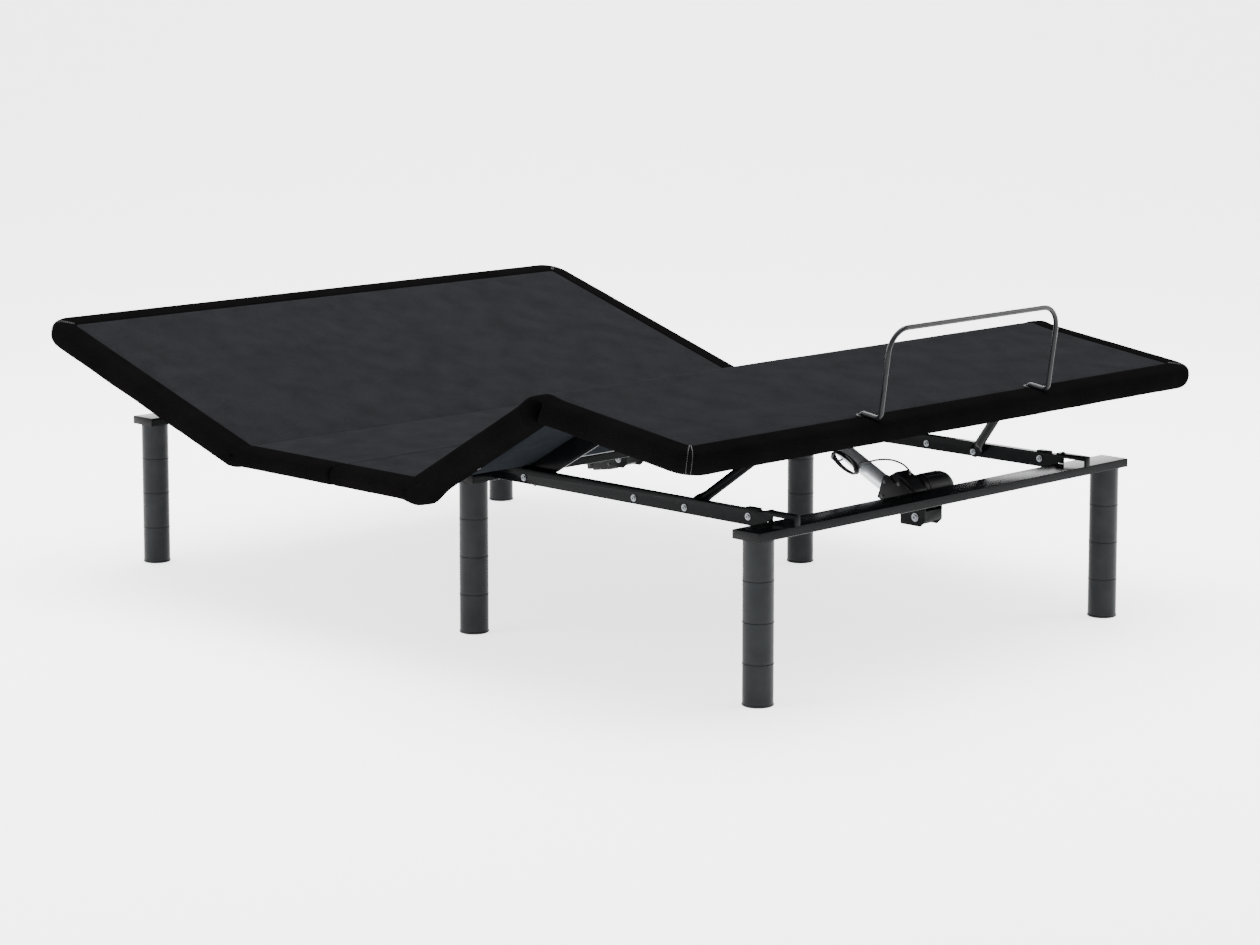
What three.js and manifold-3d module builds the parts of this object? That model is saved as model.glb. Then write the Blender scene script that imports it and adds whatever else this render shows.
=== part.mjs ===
import * as THREE from 'three';
import { mergeVertices } from 'three/addons/utils/BufferGeometryUtils.js';
import Module from 'manifold-3d';

const wasm = await Module();
wasm.setup();

// Driving dimensions, millimetres.  +X across the width, +Y toward the head, +Z up.
const WIDTH = 1500;
const TOP = 349;
const GAP = 0.3;
const HEAD_REST = 17.5;
const THIGH_REST = 30.1;
const FOOT_REST = -8.0;

// Hinge lines as (y, z) with every section lying flat.
const HINGE_Z = 342;
const HEAD_HINGE_Y = 434;
const THIGH_HINGE_Y = -87;
const KNEE_Y = -468.6;
const KNEE_Z = 309;
const HINGE_CLEAR = 6;
const SPLIT_Y = 137.2;
const HEAD_LENGTH = 675.4;
const FOOT_LENGTH = 397.5;
const HINGE_ROD_RADIUS = 3.5;
const TAB_RADIUS = 5.6;

// Pads are inverted trays, boards sit inside them.
const SKIRT = 50;
const FOOT_END_SKIRT = 38.5;
const PAD_TOP = 3;
const BOARD = 7.7;
const SEAT_DEPTH = 39;
const HEAD_DEPTH = 48;
const THIGH_DEPTH = 50;
const FOOT_DEPTH = 46;
const CORNER = 58;

// Legs.
const LEG_RADIUS = 28.5;
const LEG_SEAMS = [0, 78, 153.5, 229, 303.9];
const LEG_SIDES = 20;
const LEG_SPOTS = [
  ['foot_left', -510.7, -771.1],
  ['foot_right', 510.7, -771.1],
  ['middle_left', -479.6, 17.3],
  ['middle_right', 479.6, 17.3],
  ['head_left', -510.4, 1010.2],
  ['head_right', 510.4, 1010.2],
];

// Crossbars and side rails.
const BAR_HALF_Y = 32.85;
const BAR_Z0 = 303.9;
const BAR_Z1 = 321.2;
const BAR_WALL = 2;
const BARS = [
  ['foot_crossbar', -771.05, 545],
  ['middle_crossbar', 17.3, 512],
  ['head_crossbar', 1010.2, 543.5],
];
const RAIL_WIDTH = 15;
const RAIL_WALL = 2.5;
const RAIL_Z0 = 308.5;
const RAIL_Z1 = 337.7;
const HOOK_Z = 341.5;
const RAILS = [['left_side_rail', -453], ['right_side_rail', 402]];

// Section frames of angle iron, inboard of the rails.
const ARM_LEFT = -432;
const ARM_RIGHT = 398;
const ARM_FLANGE = 18;
const ARM_WALL = 4;
const FOOT_ARM_LEFT = -347;
const FOOT_ARM_RIGHT = 314;

// Foot links: lower pivot on the rails, upper pivot on the foot frame.
const LINK_LOW = [-532, 320];
const LINK_TOP = [-665, 441];
const LINK_RADIUS = 9.5;
const LINKS = [
  ['left_foot_link', -427, -356, -450.2, -347.3],
  ['right_foot_link', 394, 323, 401.7, 314.3],
];
const FOOT_LUG_S = 237.9;
const FOOT_LUG_DEPTH = 71;

// Actuators: rear pivot (y, z), tilt, rod end distance, tube end distance.
const ACTUATOR_X = -10;
const KNEE_PIVOT = [-737, 272];
const KNEE_TILT = 26.4;
const KNEE_REACH = 411.5;
const HEAD_PIVOT = [60, 285];
const HEAD_TILT = -7.08;
const HEAD_REACH = 356.1;
const TUBE_RADIUS = 15.5;
const TUBE_BORE = 10.6;
const ROD_RADIUS = 10;
const ROD_LENGTH = 200;
const MOTOR_RADIUS = 31;

// Mattress retainer bar.
const BAR_WIRE = 4.8;
const BAR_X = 247;
const BAR_S = 392.2;
const BAR_FOOT_S = 346.2;
const BAR_HEIGHT = 173;

const group = new THREE.Group();
const rad = THREE.MathUtils.degToRad;

function add(name, geometry, color, metalness, roughness) {
  const material = new THREE.MeshStandardMaterial({ color, metalness, roughness });
  const mesh = new THREE.Mesh(geometry, material);
  mesh.name = name;
  group.add(mesh);
}

function toSolid(geometry) {
  const bare = geometry.clone();
  bare.deleteAttribute('normal');
  bare.deleteAttribute('uv');
  const merged = mergeVertices(bare, 1e-4);
  const vertProperties = new Float32Array(merged.attributes.position.array);
  const triVerts = new Uint32Array(merged.index.array);
  return new wasm.Manifold(new wasm.Mesh({ numProp: 3, vertProperties, triVerts }));
}

function fromSolid(solid) {
  const mesh = solid.getMesh();
  const positions = new Float32Array(mesh.numVert * 3);
  for (let i = 0; i < mesh.numVert; i += 1) {
    for (let k = 0; k < 3; k += 1) {
      positions[3 * i + k] = mesh.vertProperties[mesh.numProp * i + k];
    }
  }
  const indexed = new THREE.BufferGeometry();
  indexed.setAttribute('position', new THREE.BufferAttribute(positions, 3));
  indexed.setIndex(Array.from(mesh.triVerts));
  const flat = indexed.toNonIndexed();
  flat.computeVertexNormals();
  return flat;
}

function shape(pieces, holes = []) {
  let solid = toSolid(pieces[0]);
  for (const piece of pieces.slice(1)) {
    solid = solid.add(toSolid(piece));
  }
  for (const hole of holes) {
    solid = solid.subtract(toSolid(hole));
  }
  return fromSolid(solid);
}

function box(x0, x1, y0, y1, z0, z1) {
  const geometry = new THREE.BoxGeometry(Math.abs(x1 - x0), Math.abs(y1 - y0), Math.abs(z1 - z0));
  geometry.translate((x0 + x1) / 2, (y0 + y1) / 2, (z0 + z1) / 2);
  return geometry;
}

function outline(points) {
  return new THREE.Shape(points.map((p) => new THREE.Vector2(p[0], p[1])));
}

// Extrudes a (y, z) outline along X.
function profile(points, x0, x1, hole = null) {
  const face = outline(points);
  if (hole) {
    face.holes.push(outline(hole));
  }
  const geometry = new THREE.ExtrudeGeometry(face, { depth: x1 - x0, bevelEnabled: false });
  const turn = new THREE.Matrix4();
  turn.set(0, 0, 1, x0, 1, 0, 0, 0, 0, 1, 0, 0, 0, 0, 0, 1);
  geometry.applyMatrix4(turn);
  return geometry;
}

// Extrudes an (x, y) outline along Z.
function plan(points, z0, z1) {
  const geometry = new THREE.ExtrudeGeometry(outline(points), { depth: z1 - z0, bevelEnabled: false });
  geometry.translate(0, 0, z0);
  return geometry;
}

function ring(cy, cz, radius, count) {
  const points = [];
  for (let i = 0; i < count; i += 1) {
    const angle = (2 * Math.PI * (i + 0.5)) / count;
    points.push([cy + radius * Math.cos(angle), cz + radius * Math.sin(angle)]);
  }
  return points;
}

function disc(x0, x1, y, z, radius, count = 20) {
  return profile(ring(y, z, radius, count), x0, x1);
}

function rod(from, to, radius, count = 16) {
  const start = new THREE.Vector3(...from);
  const end = new THREE.Vector3(...to);
  const axis = end.clone().sub(start);
  const geometry = new THREE.CylinderGeometry(radius, radius, axis.length(), count);
  const turn = new THREE.Quaternion();
  turn.setFromUnitVectors(new THREE.Vector3(0, 1, 0), axis.clone().normalize());
  geometry.applyQuaternion(turn);
  geometry.translate((start.x + end.x) / 2, (start.y + end.y) / 2, (start.z + end.z) / 2);
  return geometry;
}

// A path whose stations are exactly the given points.
class Stations extends THREE.Curve {
  constructor(points) {
    super();
    this.points = points;
  }

  getPointAt(u) {
    const last = this.points.length - 1;
    return this.points[Math.round(u * last)].clone();
  }

  getPoint(u) {
    return this.getPointAt(u);
  }

  getTangentAt(u) {
    const last = this.points.length - 1;
    const here = Math.round(u * last);
    const before = this.points[Math.max(here - 1, 0)];
    const after = this.points[Math.min(here + 1, last)];
    return after.clone().sub(before).normalize();
  }
}

function wire(points, radius, count) {
  const path = new Stations(points);
  const face = outline(ring(0, 0, radius, count));
  return new THREE.ExtrudeGeometry(face, { steps: points.length - 1, extrudePath: path });
}

// Straight runs joined by round bends of the given radii.
function bends(corners, radii, steps) {
  const points = [new THREE.Vector3(...corners[0])];
  for (let i = 1; i < corners.length - 1; i += 1) {
    const corner = new THREE.Vector3(...corners[i]);
    const into = corner.clone().sub(new THREE.Vector3(...corners[i - 1])).normalize();
    const out = new THREE.Vector3(...corners[i + 1]).sub(corner).normalize();
    const turn = into.angleTo(out);
    const radius = radii[i - 1];
    const reach = radius * Math.tan(turn / 2);
    const side = out.clone().addScaledVector(into, -into.dot(out)).normalize();
    const start = corner.clone().addScaledVector(into, -reach);
    const centre = start.clone().addScaledVector(side, radius);
    for (let k = 0; k <= steps; k += 1) {
      const angle = (turn * k) / steps;
      const point = centre.clone().addScaledVector(side, -radius * Math.cos(angle));
      points.push(point.addScaledVector(into, radius * Math.sin(angle)));
    }
  }
  points.push(new THREE.Vector3(...corners[corners.length - 1]));
  return points;
}

function aboutX(y, z, degrees, toY = y, toZ = z) {
  const place = new THREE.Matrix4().makeTranslation(0, toY, toZ);
  place.multiply(new THREE.Matrix4().makeRotationX(rad(degrees)));
  return place.multiply(new THREE.Matrix4().makeTranslation(0, -y, -z));
}

const headPlace = aboutX(HEAD_HINGE_Y, HINGE_Z, HEAD_REST);
const thighPlace = aboutX(THIGH_HINGE_Y, HINGE_Z, -THIGH_REST);
const kneeRest = new THREE.Vector3(0, KNEE_Y, KNEE_Z).applyMatrix4(thighPlace);
const footPlace = aboutX(KNEE_Y, KNEE_Z, -FOOT_REST, kneeRest.y, kneeRest.z);

const HALF = WIDTH / 2;
const steel = [0x2b2c2f, 0.7, 0.45];
const cloth = [0x2f3238, 0, 0.95];
const ply = [0x8a6f4d, 0, 0.8];

// Plan outline of a pad; rounded corners at y1 when round is set.
function padOutline(y0, y1, round) {
  if (!round) {
    return [[-HALF, y0], [HALF, y0], [HALF, y1], [-HALF, y1]];
  }
  const points = [[HALF, y0]];
  const way = Math.sign(y1 - y0);
  for (let side = 1; side >= -1; side -= 2) {
    for (let k = 0; k <= 5; k += 1) {
      const angle = (Math.PI / 2) * (side > 0 ? k / 5 : 1 - k / 5);
      const x = side * (HALF - CORNER + CORNER * Math.cos(angle));
      points.push([x, y1 - way * CORNER + way * CORNER * Math.sin(angle)]);
    }
  }
  points.push([-HALF, y0]);
  return way > 0 ? points : points.reverse();
}

function pad(y0, y1, depth, round, endSkirt, holes = []) {
  const way = Math.sign(y1 - y0);
  const low = y0 - way * 20;
  const high = y1 - way * endSkirt + (round ? 0 : way * 20);
  const inner = box(-HALF + SKIRT, HALF - SKIRT, low, high, TOP - depth - 10, TOP - PAD_TOP);
  return shape([plan(padOutline(y0, y1, round), TOP - depth, TOP)], [inner, ...holes]);
}

function board(y0, y1, holes = []) {
  const half = HALF - SKIRT - GAP;
  const top = TOP - PAD_TOP - GAP;
  return shape([box(-half, half, y0, y1, top - BOARD, top)], holes);
}

const UNDER = TOP - PAD_TOP - GAP - BOARD - GAP;

// Legs of four screwed sections each.
for (const [spot, x, y] of LEG_SPOTS) {
  for (let i = 0; i < 4; i += 1) {
    const z0 = LEG_SEAMS[i] + (i > 0 ? GAP / 2 : 0);
    const z1 = LEG_SEAMS[i + 1] - (i < 3 ? GAP / 2 : GAP);
    const flare = i === 0 ? 1.2 : 0;
    const points = [[0, z0], [LEG_RADIUS + flare - 0.8, z0], [LEG_RADIUS + flare, z0 + 1]];
    if (flare > 0) {
      points.push([LEG_RADIUS + flare, z0 + 4], [LEG_RADIUS, z0 + 6]);
    }
    points.push([LEG_RADIUS, z1 - 1], [LEG_RADIUS - 0.8, z1], [0, z1]);
    const face = points.map((p) => new THREE.Vector2(p[0], p[1]));
    const geometry = new THREE.LatheGeometry(face, LEG_SIDES);
    geometry.rotateX(Math.PI / 2);
    geometry.translate(x, y, 0);
    add(`leg_${spot}_section_${i + 1}`, fromSolid(toSolid(geometry)), 0x303136, 0.6, 0.35);
  }
}

// Crossbars: open-ended box tubes on the legs.
for (const [name, y, half] of BARS) {
  const y0 = y - BAR_HALF_Y;
  const y1 = y + BAR_HALF_Y;
  const outer = [[y0, BAR_Z0], [y1, BAR_Z0], [y1, BAR_Z1], [y0, BAR_Z1]];
  const w = BAR_WALL;
  const inner = [
    [y0 + w, BAR_Z0 + w], [y0 + w, BAR_Z1 - w], [y1 - w, BAR_Z1 - w], [y1 - w, BAR_Z0 + w],
  ];
  add(name, profile(outer, -half, half, inner), ...steel);
}

// Side rails: channels open toward +X, hooked over the end crossbars.
const footBarIn = BARS[0][1] + BAR_HALF_Y;
const headBarIn = BARS[2][1] - BAR_HALF_Y;
for (const [name, x0] of RAILS) {
  const x1 = x0 + RAIL_WIDTH;
  const y0 = footBarIn + GAP;
  const y1 = headBarIn - GAP;
  const rest = BAR_Z1 + GAP;
  const parts = [
    box(x0, x0 + RAIL_WALL, y0, y1, RAIL_Z0, RAIL_Z1),
    box(x0, x1, y0, y1, RAIL_Z0, RAIL_Z0 + RAIL_WALL),
    box(x0, x1, y0, y1, RAIL_Z1 - RAIL_WALL, RAIL_Z1),
    box(x0, x1, -713, -684, RAIL_Z1 - 1, RAIL_Z1 + 4),
  ];
  for (const [inner, outer] of [[footBarIn, -1], [headBarIn, 1]]) {
    const a = inner - outer * 5.2;
    const b = inner + outer * 67.8;
    parts.push(box(x0, x1, a, b, 332.5, HOOK_Z));
    parts.push(box(x0, x0 + RAIL_WALL, a, inner + outer * 13.8, rest, 336));
    parts.push(box(x0, x1, b - outer * 4, b, rest, HOOK_Z));
  }
  for (const y of [THIGH_HINGE_Y, HEAD_HINGE_Y]) {
    parts.push(disc(x0, x1, y, HINGE_Z, TAB_RADIUS, 16));
    parts.push(box(x0, x1, y - 5.3, y + 5.3, RAIL_Z1 - 1, HINGE_Z));
  }
  const bar = BARS[1][1];
  const notch = box(x0 - 5, x1 + 5, bar - BAR_HALF_Y - GAP, bar + BAR_HALF_Y + GAP, 300, rest);
  add(name, shape(parts, [notch]), ...steel);
}

// Hinge rods between the rails.
for (const [name, y] of [['thigh_hinge_rod', THIGH_HINGE_Y], ['head_hinge_rod', HEAD_HINGE_Y]]) {
  const x0 = RAILS[0][1] + RAIL_WIDTH + GAP;
  const x1 = RAILS[1][1] - GAP;
  add(name, disc(x0, x1, y, HINGE_Z, HINGE_ROD_RADIUS, 14), 0xb9bcc0, 0.9, 0.3);
}

// Seat, in two halves that meet at the split line.
const seatFoot = THIGH_HINGE_Y + HINGE_CLEAR;
const seatHead = HEAD_HINGE_Y - HINGE_CLEAR;
add('seat_pad_foot', pad(seatFoot, SPLIT_Y - 1.2, SEAT_DEPTH, false, 0), ...cloth);
add('seat_pad_head', pad(SPLIT_Y + 1.2, seatHead, SEAT_DEPTH, false, 0), ...cloth);
add('seat_board_foot', board(seatFoot, SPLIT_Y - 1.2), ...ply);
add('seat_board_head', board(SPLIT_Y + 1.2, seatHead), ...ply);

// Side web of a section frame from (distance from hinge, depth below top) points.
function web(outerX, inward, hingeY, way, points, eyeDepth, eyeRadius) {
  const low = Math.min(outerX, outerX + inward * ARM_WALL);
  const face = points.map((p) => [hingeY + way * p[0], TOP - p[1]]);
  const hole = ring(hingeY, TOP - eyeDepth, eyeRadius, 14);
  return profile(way > 0 ? face.reverse() : face, low, low + ARM_WALL, hole);
}

// Flange of an arm, lapped into the web so no faces coincide.
function flange(outerX, inward, y0, y1) {
  return box(outerX + (inward * ARM_WALL) / 2, outerX + inward * ARM_FLANGE, y0, y1, UNDER - ARM_WALL, UNDER);
}

// Angle-iron cross member between the arms.
function across(x0, x1, y, way, drop, run) {
  const top = UNDER - 0.4;
  return [
    box(x0 + 1, x1 - 1, y, y + way * ARM_WALL, TOP - drop, top),
    box(x0 + 1.5, x1 - 1.5, y + way, y + way * run, top - ARM_WALL, top - 0.3),
  ];
}

function place(geometry, matrix) {
  return geometry.applyMatrix4(matrix);
}

// Head section.
const headEnd = HEAD_HINGE_Y + HEAD_LENGTH;
const headStart = HEAD_HINGE_Y + HINGE_CLEAR;
add('head_pad', place(pad(headStart, headEnd, HEAD_DEPTH, true, SKIRT), headPlace), ...cloth);
add('head_board', place(board(headStart, headEnd - SKIRT - GAP), headPlace), ...ply);
const torqueY = HEAD_HINGE_Y + 22;
const torqueZ = TOP - 30;
const lever = [
  [torqueY + 12, torqueZ + 6], [torqueY - 12, torqueZ + 8],
  [HEAD_HINGE_Y - 66, 256], [HEAD_HINGE_Y - 60, 240], [HEAD_HINGE_Y - 42, 240], [torqueY + 12, torqueZ - 8],
];
const hingeEye = [[-5.6, 7], [-4, 3.1], [0, 1.4], [4, 3.1], [5.2, 7], [4.6, 11.9]];
const headWeb = [...hingeEye, [530, 11.9], [530, 45], [-4.6, 45]];
const headFrame = shape([
  web(ARM_LEFT, 1, HEAD_HINGE_Y, 1, headWeb, 7, HINGE_ROD_RADIUS + 0.4),
  web(ARM_RIGHT, -1, HEAD_HINGE_Y, 1, headWeb, 7, HINGE_ROD_RADIUS + 0.4),
  flange(ARM_LEFT, 1, HEAD_HINGE_Y + 8, HEAD_HINGE_Y + 529),
  flange(ARM_RIGHT, -1, HEAD_HINGE_Y + 8, HEAD_HINGE_Y + 529),
  ...across(ARM_LEFT, ARM_RIGHT, HEAD_HINGE_Y + 527, -1, 36, 24),
  disc(ARM_LEFT + 1, ARM_RIGHT - 1, torqueY, torqueZ, 12.5, 20),
  profile(lever, ACTUATOR_X - 17, ACTUATOR_X - 13),
  profile(lever, ACTUATOR_X + 13, ACTUATOR_X + 17),
], [
  disc(ARM_LEFT - 5, ARM_RIGHT + 5, torqueY, torqueZ, 10.5, 16),
]);
add('head_frame', place(headFrame, headPlace), ...steel);

// Thigh section.
const thighStart = THIGH_HINGE_Y - HINGE_CLEAR;
const thighEnd = KNEE_Y + HINGE_CLEAR;
add('thigh_pad', place(pad(thighStart, thighEnd, THIGH_DEPTH, false, 0), thighPlace), ...cloth);
add('thigh_board', place(board(thighEnd, thighStart), thighPlace), ...ply);
const lug = [
  [THIGH_HINGE_Y - 240, TOP - 30], [THIGH_HINGE_Y - 330, TOP - 30], [THIGH_HINGE_Y - 342, TOP - 42],
  [THIGH_HINGE_Y - 336, TOP - 66], [THIGH_HINGE_Y - 285, TOP - 66], [THIGH_HINGE_Y - 240, TOP - 52],
];
const thighWeb = [
  ...hingeEye, [369, 11.9], [381.6, 28], [390, 31.5], [393.6, 40], [390, 48.5], [381.6, 52.2], [-4.6, 52.2],
];
const thighFrame = shape([
  web(ARM_LEFT, 1, THIGH_HINGE_Y, -1, thighWeb, 7, HINGE_ROD_RADIUS + 0.4),
  web(ARM_RIGHT, -1, THIGH_HINGE_Y, -1, thighWeb, 7, HINGE_ROD_RADIUS + 0.4),
  flange(ARM_LEFT, 1, THIGH_HINGE_Y - 366, THIGH_HINGE_Y - 8),
  flange(ARM_RIGHT, -1, THIGH_HINGE_Y - 366, THIGH_HINGE_Y - 8),
  disc(ARM_LEFT + 1, -325, KNEE_Y, KNEE_Z, 5, 14),
  disc(292, ARM_RIGHT - 1, KNEE_Y, KNEE_Z, 5, 14),
  ...across(ARM_LEFT, ARM_RIGHT, THIGH_HINGE_Y - 244, 1, 51, 24),
  profile(lug, ACTUATOR_X - 17, ACTUATOR_X - 13),
  profile(lug, ACTUATOR_X + 13, ACTUATOR_X + 17),
]);
add('thigh_frame', place(thighFrame, thighPlace), ...steel);

// Foot section and the mattress retainer bar.
const footStart = KNEE_Y - HINGE_CLEAR;
const footEnd = KNEE_Y - FOOT_LENGTH;
const wireHoles = [];
for (const x of [-BAR_X, BAR_X]) {
  wireHoles.push(rod([x, KNEE_Y - BAR_FOOT_S, TOP - 30], [x, KNEE_Y - BAR_FOOT_S, TOP + 5], 6.3, 16));
}
const footPad = pad(footStart, footEnd, FOOT_DEPTH, true, FOOT_END_SKIRT, wireHoles);
add('foot_pad', place(footPad, footPlace), ...cloth);
add('foot_board', place(board(footEnd + FOOT_END_SKIRT + GAP, footStart, wireHoles), footPlace), ...ply);
const footWeb = [
  [9, 11.9], [262, 11.9], [262, 45], [FOOT_LUG_S + 12, 45.5], [FOOT_LUG_S + 12, FOOT_LUG_DEPTH],
  [FOOT_LUG_S + 8.5, FOOT_LUG_DEPTH + 8.5], [FOOT_LUG_S, FOOT_LUG_DEPTH + 12],
  [FOOT_LUG_S - 8.5, FOOT_LUG_DEPTH + 8.5], [FOOT_LUG_S - 12, FOOT_LUG_DEPTH], [FOOT_LUG_S - 12, 45.5],
  [12, 45], [5, 51], [-3, 51.6], [-9.5, 47.5], [-12, 40], [-8.5, 31.5], [0, 28],
];
const footFrame = shape([
  web(FOOT_ARM_LEFT, 1, KNEE_Y, -1, footWeb, 40, 5.5),
  web(FOOT_ARM_RIGHT, -1, KNEE_Y, -1, footWeb, 40, 5.5),
  flange(FOOT_ARM_LEFT, 1, KNEE_Y - 260, KNEE_Y - 11),
  flange(FOOT_ARM_RIGHT, -1, KNEE_Y - 260, KNEE_Y - 11),
  ...across(FOOT_ARM_LEFT, FOOT_ARM_RIGHT, KNEE_Y - 20, -1, 30, 24),
  ...across(FOOT_ARM_LEFT, FOOT_ARM_RIGHT, KNEE_Y - 110, 1, 30, 24),
]);
add('foot_frame', place(footFrame, footPlace), ...steel);

const wireLow = TOP + BAR_WIRE + GAP;
const wireFootY = KNEE_Y - BAR_FOOT_S;
const wireEndY = KNEE_Y - BAR_S;
const wirePath = bends([
  [-BAR_X, wireFootY, TOP - 14], [-BAR_X, wireFootY, wireLow], [-BAR_X, wireEndY, wireLow],
  [-BAR_X, wireEndY, TOP + BAR_HEIGHT], [BAR_X, wireEndY, TOP + BAR_HEIGHT],
  [BAR_X, wireEndY, wireLow], [BAR_X, wireFootY, wireLow], [BAR_X, wireFootY, TOP - 14],
], [6, 12, 46, 46, 12, 6], 6);
add('mattress_retainer_bar', place(wire(wirePath, BAR_WIRE, 10), footPlace), 0x17181a, 0.6, 0.35);

// Foot links.
for (const [name, lowX, topX, lowPin, topPin] of LINKS) {
  const [ly, lz] = LINK_LOW;
  const [ty, tz] = LINK_TOP;
  const along = (t) => [
    lowX + (topX - lowX) * t, ly + (ty - ly) * t, lz + (tz - lz) * t,
  ];
  add(name, shape([
    disc(lowX - 4, lowX + 4, ly, lz, 13, 20),
    disc(topX - 4, topX + 4, ty, tz, 12, 20),
    rod(along(0.05), along(0.96), LINK_RADIUS, 14),
    disc(Math.min(lowX, lowPin), Math.max(lowX, lowPin), ly, lz, 4, 12),
    disc(Math.min(topX, topPin), Math.max(topX, topPin), ty, tz, 4, 12),
  ]), ...steel);
}

// Actuators, drawn about their rear pivot with the tube along +Y.
function actuator(prefix, pivot, tilt, reach, tubeEnd) {
  const lay = aboutX(0, 0, tilt, pivot[0], pivot[1]);
  const x = ACTUATOR_X;
  const side = [
    [-13, -10], [-4, -15], [30, -20], [101.6, -22.5], [106.4, 20.9], [86, 46], [58, 46],
    [32, 38], [-4.5, 12], [-13, 8],
  ];
  const gearbox = profile(side, x - 20, x + 20);
  add(`${prefix}_gearbox`, place(gearbox, lay), 0x17181a, 0, 0.6);
  const face = [[0, 0], [MOTOR_RADIUS, 0], [MOTOR_RADIUS, 78], [28, 90], [18, 99.5], [0, 99.5]];
  const motor = new THREE.LatheGeometry(face.map((p) => new THREE.Vector2(p[0], p[1])), 24);
  motor.rotateZ(-Math.PI / 2);
  motor.translate(x + 20 + GAP, 55, 15);
  add(`${prefix}_motor`, place(fromSolid(toSolid(motor)), lay), 0x17181a, 0, 0.6);
  const tubeStart = 106.4 + GAP;
  const outer = rod([x, tubeStart, 0], [x, tubeEnd, 0], TUBE_RADIUS, 20);
  const bore = rod([x, tubeStart + 6, 0], [x, tubeEnd + 5, 0], TUBE_BORE, 20);
  const tube = shape([outer], [bore]);
  add(`${prefix}_outer_tube`, place(tube, lay), 0xc3c5c8, 0.9, 0.35);
  const stem = shape([
    rod([x, reach - ROD_LENGTH, 0], [x, reach - 6, 0], ROD_RADIUS, 16),
    disc(x - 12, x + 12, reach, 0, 12, 20),
  ]);
  add(`${prefix}_rod`, place(stem, lay), 0xb9bcc0, 0.9, 0.25);
}
actuator('knee', KNEE_PIVOT, KNEE_TILT, KNEE_REACH, 305);
actuator('head', HEAD_PIVOT, HEAD_TILT, HEAD_REACH, 255);

// Brackets that hold the rear pivots.
function bracket(name, y, z, way, leftCheek, rightCheek, barY) {
  const top = BAR_Z0 - GAP;
  const map = (p) => [y + way * p[0], z + p[1]];
  const left = leftCheek.map(map);
  const right = rightCheek.map(map);
  const x = ACTUATOR_X;
  const back = barY - way * 1;
  add(name, shape([
    profile(way > 0 ? left : left.slice().reverse(), x - 26, x - 23),
    profile(way > 0 ? right : right.slice().reverse(), x + 23, x + 26),
    box(x - 26, x + 26, y - way * 23, y - way * 20, z - 7, z + 14),
    box(x - 26, x + 26, y - way * 23, back, top - 3, top),
  ]), ...steel);
}
const kneeRise = BAR_Z0 - GAP - KNEE_PIVOT[1];
bracket('knee_actuator_bracket', KNEE_PIVOT[0], KNEE_PIVOT[1], 1,
  [[-23, kneeRise], [-23, -7], [-12, -17], [37, -17], [37, kneeRise]],
  [[-23, kneeRise], [-23, -7], [-12, -17], [11, -17], [17, -9], [3, kneeRise]],
  BARS[0][1] + BAR_HALF_Y);
const headRise = BAR_Z0 - GAP - HEAD_PIVOT[1];
bracket('head_actuator_bracket', HEAD_PIVOT[0], HEAD_PIVOT[1], 1,
  [[-23, headRise], [-23, -9], [-12, -18], [20, -18], [20, headRise]],
  [[-23, headRise], [-23, -9], [-12, -18], [11, -18], [16, -9], [3, headRise]],
  BARS[1][1] + BAR_HALF_Y);

// Control box under the seat.
add('control_box', box(150, 330, 205, 325, UNDER - 44, UNDER), 0x1a1b1d, 0, 0.6);

// Motor lead: out of the knee gearbox, over to the tube and wound in a hank beside it.
const leadPlace = aboutX(0, 0, KNEE_TILT, KNEE_PIVOT[0], KNEE_PIVOT[1]);
const leadPoints = [];
const leadKeys = [
  [-4, 72, 46.6], [-4, 74, 52], [-4, 84, 55], [-5, 100, 54], [-9, 120, 48], [-16, 140, 36],
  [-23, 155, 22], [-28.6, 168, 10],
];
const turns = 3;
const perTurn = 16;
for (let i = 0; i <= turns * perTurn; i += 1) {
  const angle = (2 * Math.PI * i) / perTurn;
  const drift = i / (turns * perTurn);
  leadKeys.push([
    -28.6 - 13.5 * drift, 195 - 34 * Math.cos(angle + 0.5), -5 + (12 - 2 * drift) * Math.sin(angle + 0.5),
  ]);
}
leadKeys.push([-42.1, 178, 12], [-42.1, 196, 14]);
for (const [x, along, up] of leadKeys) {
  leadPoints.push(new THREE.Vector3(x, along, up));
}
const smooth = new THREE.CatmullRomCurve3(leadPoints, false, 'centripetal');
const leadRun = smooth.getSpacedPoints(110);
add('motor_lead', place(wire(leadRun, 1.9, 6), leadPlace), 0x141416, 0, 0.6);

// Origin at the middle of the rest-pose bounding box, on the floor.
const bounds = new THREE.Box3();
for (const mesh of group.children) {
  mesh.geometry.computeBoundingBox();
  bounds.union(mesh.geometry.boundingBox);
}
const shift = -(bounds.min.y + bounds.max.y) / 2;
for (const mesh of group.children) {
  mesh.geometry.translate(0, shift, -bounds.min.z);
}

export default group;
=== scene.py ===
import math

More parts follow.
